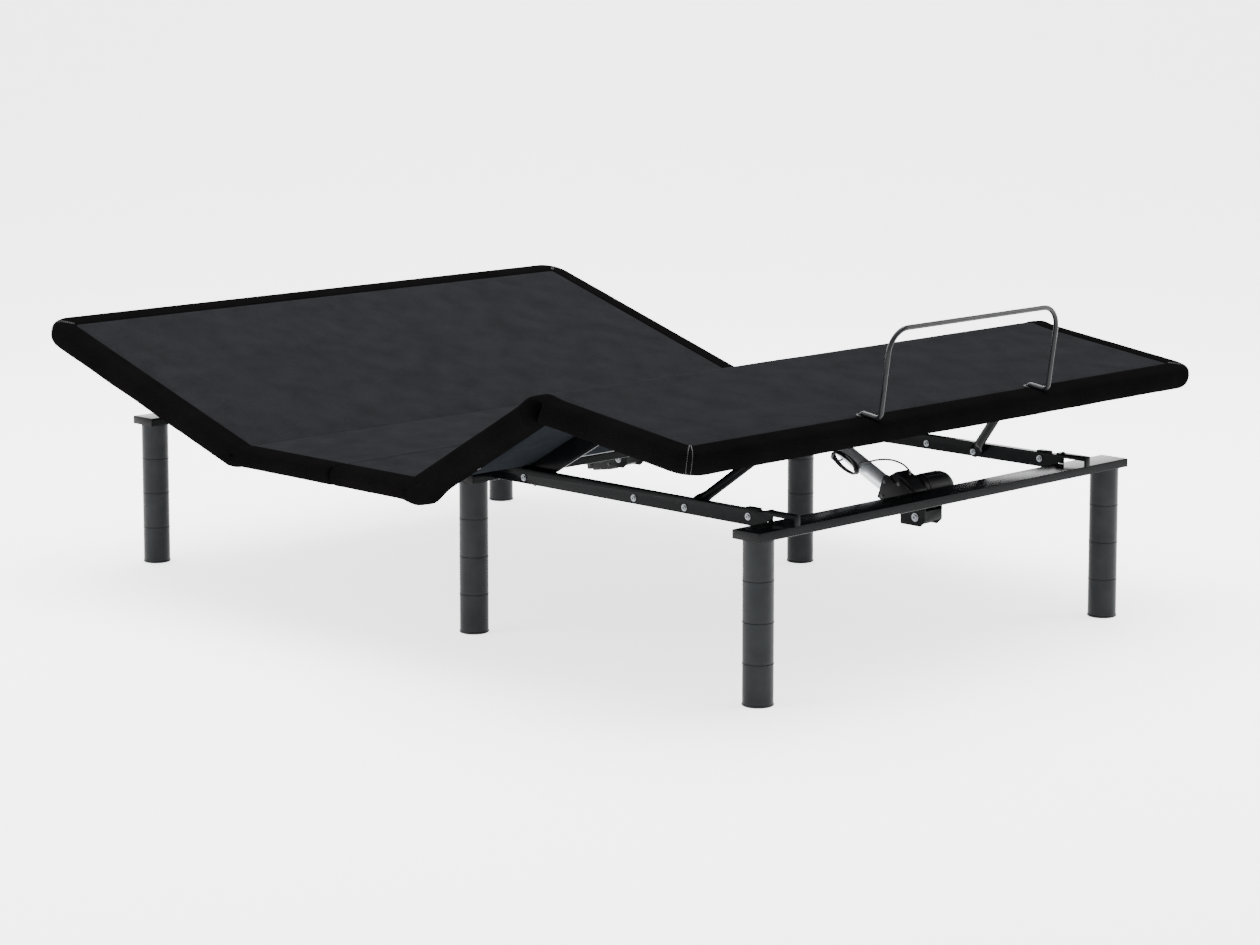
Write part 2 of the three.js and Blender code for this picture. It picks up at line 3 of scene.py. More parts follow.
import bmesh
import bpy
from mathutils import Matrix, Vector, noise
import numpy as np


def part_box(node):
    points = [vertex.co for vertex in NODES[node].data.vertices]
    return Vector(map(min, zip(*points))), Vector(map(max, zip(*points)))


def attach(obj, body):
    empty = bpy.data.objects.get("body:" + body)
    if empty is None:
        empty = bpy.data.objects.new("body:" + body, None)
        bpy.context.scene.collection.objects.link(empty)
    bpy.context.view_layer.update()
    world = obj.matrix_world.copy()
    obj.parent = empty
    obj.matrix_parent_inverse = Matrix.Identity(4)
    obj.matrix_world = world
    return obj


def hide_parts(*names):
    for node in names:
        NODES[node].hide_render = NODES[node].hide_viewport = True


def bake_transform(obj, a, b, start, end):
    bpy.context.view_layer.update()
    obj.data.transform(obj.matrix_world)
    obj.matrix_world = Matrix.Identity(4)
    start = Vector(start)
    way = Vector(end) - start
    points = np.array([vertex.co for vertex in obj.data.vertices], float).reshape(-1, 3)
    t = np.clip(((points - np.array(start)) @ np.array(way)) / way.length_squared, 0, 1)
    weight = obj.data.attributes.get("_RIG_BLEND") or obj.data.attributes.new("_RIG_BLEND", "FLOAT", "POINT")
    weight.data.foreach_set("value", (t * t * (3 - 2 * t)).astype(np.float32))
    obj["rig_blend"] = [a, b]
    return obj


bl_info = {
    "name": "Adjustable Bed Base",
    "version": (1, 0, 0),
    "blender": (4, 5, 0),
    "location": "View3D > Sidebar > Bed Base",
    "description": "Builds an adjustable bed base piece by piece around its frame",
    "category": "Add Mesh",
}

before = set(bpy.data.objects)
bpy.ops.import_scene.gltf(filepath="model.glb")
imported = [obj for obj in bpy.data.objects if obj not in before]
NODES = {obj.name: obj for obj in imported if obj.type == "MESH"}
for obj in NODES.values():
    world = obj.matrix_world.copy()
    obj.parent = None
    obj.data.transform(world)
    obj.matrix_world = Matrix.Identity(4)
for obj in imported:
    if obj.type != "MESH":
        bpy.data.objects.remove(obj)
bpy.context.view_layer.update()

# Sizes in metres on a drawing frame whose Y is moved to the row frame by Y0.
_leg_low, _leg_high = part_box("leg_foot_left_section_2")
Y0 = (_leg_low.y + _leg_high.y) / 2 + 0.7711
TOP = 0.349
HINGE_Z = 0.342
HEAD_HINGE = 0.434
THIGH_HINGE = -0.087
KNEE = (-0.4686, 0.309)
SPLIT = 0.1372
HEAD_END = 1.1094
FOOT_END = -0.8661
JOIN = -0.275
HEAD_ANGLE = math.radians(17.5)
THIGH_ANGLE = math.radians(30.1)
FOLD_ANGLE = math.radians(38.1)
KNEE_PIVOT = (-0.737, 0.272, math.radians(26.4))
HEAD_PIVOT = (0.060, 0.285, math.radians(-7.08))
DRIVE_X = -0.010
CAMERA_PLACE = (-4.6665, -4.5974, 1.4429)
CAMERA_YAW = math.radians(45.04)
CAMERA_PITCH = math.radians(6.91)
FOCAL_LENGTH_MM = 92.03
FRAMING_SHIFT = -0.1488
# Softboxes: name, place, aim, width, height, watts.
LAMPS = (
    ("Top Softbox", (0.3, 0.6, 4.2), (0, 0, 0.3), 4.5, 4.5, 560),
    ("Left Softbox", (-4.2, 1.4, 2.0), (0, 0, 0.3), 2.2, 2.6, 110),
    ("Right Softbox", (3.6, -3.0, 2.2), (0, -0.2, 0.3), 2.2, 2.6, 110),
)
LEG_SPOTS = {
    "foot_left": (-0.5107, -0.7711),
    "foot_right": (0.5107, -0.7711),
    "middle_left": (-0.4796, 0.0173),
    "middle_right": (0.4796, 0.0173),
    "head_left": (-0.5104, 1.0102),
    "head_right": (0.5104, 1.0102),
}


# ---------------------------------------------------------------- settings


def hex_colour(text):
    """Linear colour from an sRGB hex string."""
    values = [int(text[i : i + 2], 16) / 255 for i in (1, 3, 5)]
    linear = [v / 12.92 if v <= 0.04045 else ((v + 0.055) / 1.055) ** 2.4 for v in values]
    return (*linear, 1.0)


def length(label, text, value):
    """A length setting in metres."""
    return bpy.props.FloatProperty(
        name=label, description=text, default=value, min=0.0, max=3.0, precision=4, unit="LENGTH"
    )


def paint(label, text, value):
    """A colour setting, given as an sRGB hex string."""
    return bpy.props.FloatVectorProperty(
        name=label, description=text, default=hex_colour(value), size=4, min=0.0, max=1.0, subtype="COLOR"
    )


class CoverSizes(bpy.types.PropertyGroup):
    """Sizes of the padded covers."""

    half_width: length("Half width", "Half of the deck's width", 0.750)
    border: length("Border", "Width of the dark border on top", 0.048)
    corner: length("Corner", "Plan radius of the outer corners", 0.058)
    head_depth: length("Head depth", "Depth of the head pad's edge", 0.048)
    seat_depth: length("Seat depth", "Depth of the seat pad's edge", 0.039)
    thigh_depth: length("Thigh depth", "Depth of the thigh pad's edge", 0.050)
    foot_depth: length("Foot depth", "Depth of the foot pad's edge", 0.045)
    hem_pitch: length("Staple pitch", "Distance between hem staples", 0.055)
    stitch_pitch: length("Stitch pitch", "Distance between corner stitches", 0.0042)


class FrameSizes(bpy.types.PropertyGroup):
    """Sizes of the legs, bars and fasteners."""

    leg_radius: length("Leg radius", "Radius of the round legs", 0.0285)
    bar_wall: length("Bar wall", "Wall of the crossbars", 0.002)
    bolt_radius: length("Bolt radius", "Radius of a bolt head", 0.0054)
    bolt_height: length("Bolt height", "Height of a bolt head", 0.0030)
    washer_radius: length("Washer radius", "Radius of a washer", 0.0070)
    wire_radius: length("Wire radius", "Radius of the retainer bar", 0.0048)


class DriveSizes(bpy.types.PropertyGroup):
    """Sizes of the two linear drives."""

    tube_radius: length("Tube radius", "Radius of the outer tube", 0.0155)
    rod_radius: length("Rod radius", "Radius of the sliding stem", 0.010)
    motor_radius: length("Motor radius", "Radius of the motor body", 0.031)
    lead_radius: length("Lead radius", "Radius of the motor lead", 0.0019)


class FinishColours(bpy.types.PropertyGroup):
    """Colours of the finishes."""

    border: paint("Border", "Colour of the border cloth", "#050505")
    border_lift: paint("Border lift", "Lighter nap of the border cloth", "#0b0a0a")
    panel: paint("Panel", "Colour of the panel cloth", "#131314")
    panel_lift: paint("Panel lift", "Lighter fibres of the panel cloth", "#1d1e20")
    leg: paint("Leg", "Colour of the leg paint", "#141618")
    steel: paint("Frame", "Colour of the frame paint", "#050607")
    plastic: paint("Plastic", "Colour of the moulded plastic", "#08080a")
    dust_cloth: paint("Dust cloth", "Colour of the cloth under the boards", "#0e1114")
    floor: paint("Floor", "Colour of the floor", "#f4f4f4")


# ---------------------------------------------------------------- materials


def add_node(tree, kind, place, values=None, links=None, **settings):
    """A node at a place, with its settings, input values and links."""
    node = tree.nodes.new(kind)
    node.location = place
    for key, value in settings.items():
        setattr(node, key, value)
    for key, value in (values or {}).items():
        node.inputs[key].default_value = value
    for key, source in (links or {}).items():
        tree.links.new(source, node.inputs[key])
    return node


def blank_material(name, sockets):
    """A material with its shader's own sockets set."""
    material = bpy.data.materials.new(name)
    material.use_nodes = True
    shader = material.node_tree.nodes["Principled BSDF"]
    for key, value in sockets.items():
        shader.inputs[key].default_value = value
    return material, material.node_tree, shader


def set_ramp(ramp, low, high, spread):
    """Two colours on a ramp."""
    for stop, place, colour in zip(ramp.color_ramp.elements, spread, (low, high)):
        stop.position = place
        stop.color = colour


def lifted(colour, amount):
    """A slightly lighter colour."""
    return (*[min(1.0, c + amount) for c in colour[:3]], 1.0)


def hard_finish(name, colour, lift, grain_mm, cloud_mm, gloss, relief_mm, stretch=(1, 1, 1), **sockets):
    """A paint, metal or plastic: slow drift in colour and gloss, fine grain in relief."""
    set_on = {key.replace("_", " "): value for key, value in sockets.items()}
    material, tree, shader = blank_material(name, set_on)
    where = add_node(tree, "ShaderNodeTexCoord", (-1300, 0))
    turn = add_node(
        tree, "ShaderNodeMapping", (-1100, 0), {"Scale": stretch}, {"Vector": where.outputs["Object"]}
    )
    grain = add_node(
        tree, "ShaderNodeTexNoise", (-850, -250), {"Scale": 1000 / grain_mm, "Detail": 2.0},
        {"Vector": turn.outputs["Vector"]},
    )
    cloud = add_node(
        tree, "ShaderNodeTexNoise", (-850, 100), {"Scale": 1000 / cloud_mm, "Detail": 4.0},
        {"Vector": turn.outputs["Vector"]},
    )
    tint = add_node(tree, "ShaderNodeValToRGB", (-550, 250), links={"Fac": cloud.outputs["Fac"]})
    set_ramp(tint, (*colour[:3], 1.0), lifted(colour, lift), (0.35, 0.65))
    shine = add_node(
        tree, "ShaderNodeMapRange", (-550, 0), {"To Min": gloss[0], "To Max": gloss[1]},
        {"Value": cloud.outputs["Fac"]},
    )
    relief = add_node(
        tree, "ShaderNodeBump", (-300, -300), {"Strength": 0.3, "Distance": relief_mm / 1000},
        {"Height": grain.outputs["Fac"]},
    )
    tree.links.new(tint.outputs["Color"], shader.inputs["Base Color"])
    tree.links.new(shine.outputs["Result"], shader.inputs["Roughness"])
    tree.links.new(relief.outputs["Normal"], shader.inputs["Normal"])
    return material


def cloth_finish(name, low, high, spread, yarn_mm, blotch_mm, relief_mm, mixes, sheen):
    """Cloth: two crossed sets of yarn, uneven dye and a fine relief."""
    material, tree, shader = blank_material(name, {
        "Specular IOR Level": 0.0, "Sheen Weight": sheen[0], "Sheen Roughness": 0.5,
        "Sheen Tint": hex_colour(sheen[1]),
    })
    where = add_node(tree, "ShaderNodeTexCoord", (-1700, 0))
    yarns = []
    for row, stretch in enumerate(((0.3, 2.4, 1.0), (2.4, 0.3, 1.0))):
        turn = add_node(
            tree, "ShaderNodeMapping", (-1500, 500 - 400 * row), {"Scale": stretch},
            {"Vector": where.outputs["Object"]},
        )
        yarns.append(add_node(
            tree, "ShaderNodeTexNoise", (-1250, 500 - 400 * row),
            {"Scale": 1000 / yarn_mm, "Detail": 4.0}, {"Vector": turn.outputs["Vector"]},
        ))
    blotch = add_node(
        tree, "ShaderNodeTexNoise", (-1250, -300), {"Scale": 1000 / blotch_mm, "Detail": 5.0},
        {"Vector": where.outputs["Object"]},
    )
    weave = add_node(
        tree, "ShaderNodeMath", (-1000, 300), links={0: yarns[0].outputs["Fac"], 1: yarns[1].outputs["Fac"]},
        operation="MAXIMUM",
    )
    faded = add_node(
        tree, "ShaderNodeMath", (-1000, -100), {1: mixes[1]}, {0: blotch.outputs["Fac"]}, operation="MULTIPLY"
    )
    mixed = add_node(
        tree, "ShaderNodeMath", (-800, 150), {1: mixes[0]},
        {0: weave.outputs["Value"], 2: faded.outputs["Value"]}, operation="MULTIPLY_ADD",
    )
    tint = add_node(tree, "ShaderNodeValToRGB", (-550, 250), links={"Fac": mixed.outputs["Value"]})
    set_ramp(tint, low, high, spread)
    dull = add_node(
        tree, "ShaderNodeMapRange", (-550, 0), {"To Min": 0.84, "To Max": 0.97},
        {"Value": blotch.outputs["Fac"]},
    )
    relief = add_node(
        tree, "ShaderNodeBump", (-300, -300), {"Strength": 0.4, "Distance": relief_mm / 1000},
        {"Height": weave.outputs["Value"]},
    )
    tree.links.new(tint.outputs["Color"], shader.inputs["Base Color"])
    tree.links.new(dull.outputs["Result"], shader.inputs["Roughness"])
    tree.links.new(relief.outputs["Normal"], shader.inputs["Normal"])
    return material


FINISH = {}


def make_finishes():
    """Every finish of the object, made once."""
    hues = bpy.context.scene.bed_colours
    # Short-napped knit, near black and dull: it scatters light and mirrors nothing, so all three
    # cloths have no specular lobe and very little sheen.  Real pile is under 1 mm and is drawn at
    # 2 mm so that it shows.
    FINISH["border"] = cloth_finish(
        "Black Napped Knit", hues.border, hues.border_lift, (0.40, 0.66), 2.0, 90, 0.5, (0.62, 0.30),
        (0.006, "#55504c"),
    )
    # Heathered non-slip weave: grey flecks about 3 mm long, drawn a little coarse so that they show.
    FINISH["panel"] = cloth_finish(
        "Heathered Grey Weave", hues.panel, hues.panel_lift, (0.36, 0.70), 3.2, 60, 0.5, (0.62, 0.34),
        (0.012, "#7c8087"),
    )
    # Thin non-woven polyester, dull with a pressed fibre pattern of about 2.5 mm.
    FINISH["dust"] = cloth_finish(
        "Non Woven Dust Cloth", hues.dust_cloth, lifted(hues.dust_cloth, 0.008), (0.35, 0.7), 2.5, 40, 0.4,
        (0.62, 0.34), (0.05, "#5f6670"),
    )
    # Stitching thread: twisted polyester, dark grey with a slight shine.
    FINISH["thread"] = hard_finish(
        "Grey Polyester Thread", hex_colour("#1c1c1c"), 0.01, 0.6, 8, (0.5, 0.65), 0.1
    )
    # Powder coat on tube legs: satin with a 2 mm orange peel.  On this and the other black
    # coats and mouldings the reflection is set below a typical one, to suit the bright studio.
    FINISH["leg"] = hard_finish(
        "Graphite Powder Coat", hues.leg, 0.004, 2.0, 45, (0.34, 0.44), 0.15, Specular_IOR_Level=0.09,
    )
    # Smoother coat on the bars and rails, whose tops mirror the room at a grazing angle.
    FINISH["frame"] = hard_finish(
        "Black Powder Coat", hues.steel, 0.001, 2.0, 60, (0.17, 0.25), 0.08,
        Specular_IOR_Level=0.035,
    )
    FINISH["bar"] = hard_finish(
        "Black Wire Coat", hex_colour("#0c0d0f"), 0.004, 1.6, 30, (0.18, 0.28), 0.06,
        Specular_IOR_Level=0.14,
    )
    # Zinc plating: dark grey soft mirror with faint 1 mm spangle.
    FINISH["zinc"] = hard_finish(
        "Zinc Plated Steel", hex_colour("#5c5f63"), 0.05, 1.0, 6, (0.22, 0.36), 0.05, Metallic=1.0
    )
    # Ground and drawn metals have lines along their length.
    FINISH["stem"] = hard_finish(
        "Ground Steel", hex_colour("#b4b7ba"), 0.05, 1.2, 20, (0.14, 0.24), 0.03, (1, 0.05, 0.05),
        Metallic=1.0,
    )
    FINISH["tube"] = hard_finish(
        "Anodised Aluminium", hex_colour("#c9ccd0"), 0.04, 1.0, 30, (0.32, 0.42), 0.04, (1, 0.04, 0.04),
        Metallic=0.75,
    )
    # Glass-filled nylon and ABS mouldings with a fine spark texture of about 1 mm.
    FINISH["plastic"] = hard_finish(
        "Black Nylon Moulding", hues.plastic, 0.002, 1.0, 25, (0.36, 0.5), 0.15, Specular_IOR_Level=0.08
    )
    FINISH["cap"] = hard_finish(
        "Black ABS Cap", hex_colour("#060607"), 0.002, 1.2, 20, (0.38, 0.5), 0.12, Specular_IOR_Level=0.08
    )
    # Painted shade: near-black for the hex sockets, a flat disc on each bolt head standing in for the shaded
    # hole.
    FINISH["recess"] = hard_finish("Painted Socket Shade", hex_colour("#050505"), 0.002, 1.0, 10, (0.5, 0.6), 0.05)
    # Plasticised vinyl: soft shine, nearly smooth.
    FINISH["lead"] = hard_finish(
        "Black Vinyl Jacket", hex_colour("#070708"), 0.003, 2.0, 15, (0.3, 0.4), 0.05
    )
    FINISH["tie"] = hard_finish("Nylon Tie", hex_colour("#0a0a0b"), 0.003, 1.5, 10, (0.4, 0.5), 0.05)


# ---------------------------------------------------------------- mesh helpers


def make_object(name, vertices, faces, materials, indices=None, smooth=True, sharp=35):
    """An object at the origin from points in the drawing frame."""
    mesh = bpy.data.meshes.new(name)
    moved = [(v[0], v[1] + Y0, v[2]) for v in vertices]
    mesh.from_pydata(moved, [], faces)
    for material in materials:
        mesh.materials.append(material)
    if indices is not None:
        mesh.polygons.foreach_set("material_index", indices)
    mesh.polygons.foreach_set("use_smooth", [smooth] * len(mesh.polygons))
    mesh.update()
    work = bmesh.new()
    work.from_mesh(mesh)
    bmesh.ops.recalc_face_normals(work, faces=work.faces)
    work.to_mesh(mesh)
    work.free()
    if smooth:
        mesh.set_sharp_from_angle(angle=math.radians(sharp))
    thing = bpy.data.objects.new(name, mesh)
    bpy.context.scene.collection.objects.link(thing)
    return thing


def join_parts(parts):
    """Vertices and faces of several parts as one list."""
    vertices, faces = [], []
    for points, polygons in parts:
        base = len(vertices)
        vertices.extend(points)
        faces.extend([[base + i for i in f] for f in polygons])
    return vertices, faces


def sweep(path, radius, sides=14):
    """A round tube along a path of points."""
    points = [Vector(p) for p in path]
    count = len(points)
    radii = radius if isinstance(radius, (list, tuple)) else [radius] * count
    vertices, faces = [], []
    side = None
    for i, point in enumerate(points):
        before = points[max(i - 1, 0)]
        after = points[min(i + 1, count - 1)]
        way = (after - before).normalized()
        if side is None:
            guess = Vector((1, 0, 0)) if abs(way.x) < 0.9 else Vector((0, 0, 1))
            side = (guess - way * guess.dot(way)).normalized()
        else:
            side = (side - way * side.dot(way)).normalized()
        other = way.cross(side)
        for k in range(sides):
            angle = 2 * math.pi * k / sides
            offset = side * math.cos(angle) + other * math.sin(angle)
            vertices.append(point + offset * radii[i])
    for i in range(count - 1):
        for k in range(sides):
            n = (k + 1) % sides
            a, b = i * sides, (i + 1) * sides
            faces.append([a + k, a + n, b + n, b + k])
    faces.append(list(range(sides))[::-1])
    faces.append([(count - 1) * sides + k for k in range(sides)])
    return vertices, faces


def lathe(profile, centre, axis="Z", sides=40):
    """A solid turned from (radius, height) points about an axis through centre."""
    vertices, faces = [], []
    for radius, height in profile:
        for k in range(sides):
            angle = 2 * math.pi * k / sides
            a, b = radius * math.cos(angle), radius * math.sin(angle)
            spot = {"Z": (a, b, height), "X": (height, a, b), "Y": (b, height, a)}[axis]
            vertices.append(Vector(centre) + Vector(spot))
    for i in range(len(profile) - 1):
        for k in range(sides):
            n = (k + 1) % sides
            a, b = i * sides, (i + 1) * sides
            faces.append([a + k, a + n, b + n, b + k])
    faces.append(list(range(sides))[::-1])
    faces.append([(len(profile) - 1) * sides + k for k in range(sides)])
    return vertices, faces


def block(low, high, radius=0.0015, segments=2):
    """A box with rounded edges."""
    work = bmesh.new()
    bmesh.ops.create_cube(work, size=1)
    size = [h - l for l, h in zip(low, high)]
    middle = [(h + l) / 2 for l, h in zip(low, high)]
    for v in work.verts:
        v.co = Vector([m + c * s for m, c, s in zip(middle, v.co, size)])
    bmesh.ops.bevel(
        work, geom=work.edges[:], offset=radius, segments=segments, profile=0.5, affect="EDGES"
    )
    result = ([v.co.copy() for v in work.verts], [[v.index for v in f.verts] for f in work.faces])
    work.free()
    return result


def slab(outline, x0, x1, radius=0.002, segments=3):
    """A (y, z) outline given thickness along X, with rounded rims."""
    work = bmesh.new()
    ring = [work.verts.new((x0, y, z)) for y, z in outline]
    face = work.faces.new(ring)
    moved = bmesh.ops.extrude_face_region(work, geom=[face])["geom"]
    for v in moved:
        if isinstance(v, bmesh.types.BMVert):
            v.co.x = x1
    bmesh.ops.bevel(
        work, geom=work.edges[:], offset=radius, segments=segments, profile=0.5, affect="EDGES"
    )
    work.verts.index_update()
    result = ([v.co.copy() for v in work.verts], [[v.index for v in f.verts] for f in work.faces])
    work.free()
    return result


def tilted(part, pivot):
    """A part drawn about a drive's rear pivot, laid at the drive's tilt."""
    y, z, angle = pivot
    turn = Matrix.Rotation(angle, 3, "X")
    points = [turn @ Vector(v) + Vector((0, y, z)) for v in part[0]]
    return points, part[1]


def about_x(point, centre, angle):
    """A point turned about an X axis through centre (y, z)."""
    y, z = point[1] - centre[0], point[2] - centre[1]
    c, s = math.cos(angle), math.sin(angle)
    return Vector((point[0], centre[0] + y * c - z * s, centre[1] + y * s + z * c))


def ease(value):
    """Smooth step between 0 and 1."""
    t = min(max(value, 0.0), 1.0)
    return t * t * (3 - 2 * t)


def rounded_path(corners, radii, steps=8):
    """Straight runs joined by round bends."""
    points = [Vector(corners[0])]
    for i in range(1, len(corners) - 1):
        corner = Vector(corners[i])
        into = (corner - Vector(corners[i - 1])).normalized()
        out = (Vector(corners[i + 1]) - corner).normalized()
        turn = into.angle(out)
        reach = radii[i - 1] * math.tan(turn / 2)
        side = (out - into * out.dot(into)).normalized()
        start = corner - into * reach
        centre = start + side * radii[i - 1]
        for k in range(steps + 1):
            angle = turn * k / steps
            points.append(
                centre - side * radii[i - 1] * math.cos(angle) + into * radii[i - 1] * math.sin(angle)
            )
    points.append(Vector(corners[-1]))
    return points


# ---------------------------------------------------------------- posing of flat drawings


def head_place(point):
    """Flat drawing to the rest place of the seat and head sections."""
    weight = ease((point[1] - HEAD_HINGE + 0.014) / 0.028)
    return about_x(point, (HEAD_HINGE, HINGE_Z), HEAD_ANGLE * weight)


def thigh_place(point):
    """Flat drawing to the rest place of the seat and thigh sections."""
    weight = ease((THIGH_HINGE + 0.014 - point[1]) / 0.028)
    return about_x(point, (THIGH_HINGE, HINGE_Z), -THIGH_ANGLE * weight)


def foot_place(point):
    """Flat drawing to the rest place of the thigh and foot sections."""
    away = point[1] - KNEE[0]
    weight = ease((0.012 - away) / 0.024)
    crown = 0.0028 * math.exp(-((away / 0.020) ** 2)) * ease((point[2] - TOP + 0.030) / 0.020)
    folded = about_x(point + Vector((0, 0, crown)), KNEE, FOLD_ANGLE * weight)
    return about_x(folded, (THIGH_HINGE, HINGE_Z), -THIGH_ANGLE)


# ---------------------------------------------------------------- geometry nodes


def bolt_tree():
    """Node tree: a washer and a socket head on every point, facing its arrow; the hex socket is a near-black
    disc of painted shade.
    """
    tree = bpy.data.node_groups.new("Bolt Heads", "GeometryNodeTree")
    sockets = tree.interface
    sockets.new_socket("Geometry", in_out="INPUT", socket_type="NodeSocketGeometry")
    for name, value in (("Head Radius", 0.006), ("Head Height", 0.0035), ("Washer Radius", 0.009)):
        made = sockets.new_socket(name, in_out="INPUT", socket_type="NodeSocketFloat")
        made.default_value = value
    for name in ("Finish", "Socket Shade Finish"):
        sockets.new_socket(name, in_out="INPUT", socket_type="NodeSocketMaterial")
    sockets.new_socket("Geometry", in_out="OUTPUT", socket_type="NodeSocketGeometry")
    start = add_node(tree, "NodeGroupInput", (-1200, 0))
    washer = add_node(
        tree, "GeometryNodeMeshCylinder", (-600, 300), {"Vertices": 24, "Depth": 0.0012},
        {"Radius": start.outputs["Washer Radius"]},
    )
    narrow = add_node(
        tree, "ShaderNodeMath", (-900, -200), {1: 0.78}, {0: start.outputs["Head Radius"]},
        operation="MULTIPLY",
    )
    socket = add_node(
        tree, "ShaderNodeMath", (-900, -400), {1: 0.48}, {0: start.outputs["Head Radius"]},
        operation="MULTIPLY",
    )
    head = add_node(tree, "GeometryNodeMeshCone", (-600, 0), {"Vertices": 24}, {
        "Radius Bottom": start.outputs["Head Radius"], "Radius Top": narrow.outputs["Value"],
        "Depth": start.outputs["Head Height"],
    })
    # The hex socket is a thin disc on top of the head, coloured near-black as painted shade for the hole.
    hexagon = add_node(
        tree, "GeometryNodeMeshCylinder", (-600, -300), {"Vertices": 6, "Depth": 0.0003},
        {"Radius": socket.outputs["Value"]},
    )
    lift = add_node(tree, "ShaderNodeCombineXYZ", (-600, -500), links={"Z": start.outputs["Head Height"]})
    raised = add_node(
        tree, "GeometryNodeTransform", (-350, -300),
        links={"Geometry": hexagon.outputs["Mesh"], "Translation": lift.outputs["Vector"]},
    )
    solid = add_node(tree, "GeometryNodeJoinGeometry", (-350, 100))
    tree.links.new(washer.outputs["Mesh"], solid.inputs["Geometry"])
    tree.links.new(head.outputs["Mesh"], solid.inputs["Geometry"])
    arrow = add_node(
        tree, "GeometryNodeInputNamedAttribute", (-350, -600), {"Name": "facing"}, data_type="FLOAT_VECTOR"
    )
    aim = add_node(
        tree, "FunctionNodeAlignRotationToVector", (-100, -600), links={"Vector": arrow.outputs["Attribute"]},
        axis="Z",
    )
    done = []
    for row, (part, finish) in enumerate(((solid, "Finish"), (raised, "Socket Shade Finish"))):
        copies = add_node(tree, "GeometryNodeInstanceOnPoints", (150, -300 * row), links={
            "Points": start.outputs["Geometry"], "Instance": part.outputs["Geometry"],
            "Rotation": aim.outputs["Rotation"],
        })
        real = add_node(
            tree, "GeometryNodeRealizeInstances", (400, -300 * row),
            links={"Geometry": copies.outputs["Instances"]},
        )
        done.append(add_node(tree, "GeometryNodeSetMaterial", (650, -300 * row), links={
            "Geometry": real.outputs["Geometry"], "Material": start.outputs[finish],
        }))
    both = add_node(tree, "GeometryNodeJoinGeometry", (900, 0))
    for part in done:
        tree.links.new(part.outputs["Geometry"], both.inputs["Geometry"])
    add_node(tree, "NodeGroupOutput", (1100, 0), links={"Geometry": both.outputs["Geometry"]})
    return tree


def staple_tree():
    """Node tree: a row of short bars laid along a line, for staples and stitches."""
    tree = bpy.data.node_groups.new("Bars Along A Line", "GeometryNodeTree")
    sockets = tree.interface
    sockets.new_socket("Geometry", in_out="INPUT", socket_type="NodeSocketGeometry")
    for name, value in (("Pitch", 0.055), ("Bar Length", 0.010), ("Wire", 0.0011)):
        made = sockets.new_socket(name, in_out="INPUT", socket_type="NodeSocketFloat")
        made.default_value = value
    sockets.new_socket("Finish", in_out="INPUT", socket_type="NodeSocketMaterial")
    sockets.new_socket("Geometry", in_out="OUTPUT", socket_type="NodeSocketGeometry")
    start = add_node(tree, "NodeGroupInput", (-1100, 0))
    line = add_node(
        tree, "GeometryNodeMeshToCurve", (-850, 100), links={"Mesh": start.outputs["Geometry"]}
    )
    spaced = add_node(
        tree, "GeometryNodeResampleCurve", (-600, 100), links={"Curve": line.outputs["Curve"]}, mode="LENGTH"
    )
    tree.links.new(start.outputs["Pitch"], spaced.inputs["Length"])
    size = add_node(tree, "ShaderNodeCombineXYZ", (-600, -200), links={
        "X": start.outputs["Wire"], "Y": start.outputs["Wire"], "Z": start.outputs["Bar Length"],
    })
    bar = add_node(tree, "GeometryNodeMeshCube", (-400, -200), links={"Size": size.outputs["Vector"]})
    way = add_node(tree, "GeometryNodeInputTangent", (-400, -400))
    aim = add_node(
        tree, "FunctionNodeAlignRotationToVector", (-150, -400), links={"Vector": way.outputs["Tangent"]},
        axis="Z",
    )
    copies = add_node(tree, "GeometryNodeInstanceOnPoints", (100, 0), links={
        "Points": spaced.outputs["Curve"], "Instance": bar.outputs["Mesh"],
        "Rotation": aim.outputs["Rotation"],
    })
    real = add_node(
        tree, "GeometryNodeRealizeInstances", (400, 0), links={"Geometry": copies.outputs["Instances"]}
    )
    coat = add_node(tree, "GeometryNodeSetMaterial", (650, 0), links={
        "Geometry": real.outputs["Geometry"], "Material": start.outputs["Finish"],
    })
    add_node(tree, "NodeGroupOutput", (900, 0), links={"Geometry": coat.outputs["Geometry"]})
    return tree


TREES = {}


def grown(name, points, edges, tree, values, body, facing=None):
    """Runs a node tree on points or lines and keeps the result as a plain mesh."""
    mesh = bpy.data.meshes.new(name + "_seed")
    mesh.from_pydata([(p[0], p[1] + Y0, p[2]) for p in points], edges, [])
    if facing:
        arrows = mesh.attributes.new("facing", "FLOAT_VECTOR", "POINT")
        arrows.data.foreach_set("vector", [c for f in facing for c in f])
    seed = bpy.data.objects.new(name + "_seed", mesh)
    bpy.context.scene.collection.objects.link(seed)
    modifier = seed.modifiers.new("Grow", "NODES")
    modifier.node_group = tree
    for item in tree.interface.items_tree:
        if item.item_type == "SOCKET" and item.in_out == "INPUT" and item.name in values:
            modifier[item.identifier] = values[item.name]
    bpy.context.view_layer.update()
    graph = bpy.context.evaluated_depsgraph_get()
    result = bpy.data.meshes.new_from_object(seed.evaluated_get(graph))
    bpy.data.objects.remove(seed)
    if not result.polygons:
        raise RuntimeError(name + " came out empty")
    thing = bpy.data.objects.new(name, result)
    result.name = name
    bpy.context.scene.collection.objects.link(thing)
    for key in list(result.attributes.keys()):
        if key == "facing":
            result.attributes.remove(result.attributes[key])
    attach(thing, body)
    return thing


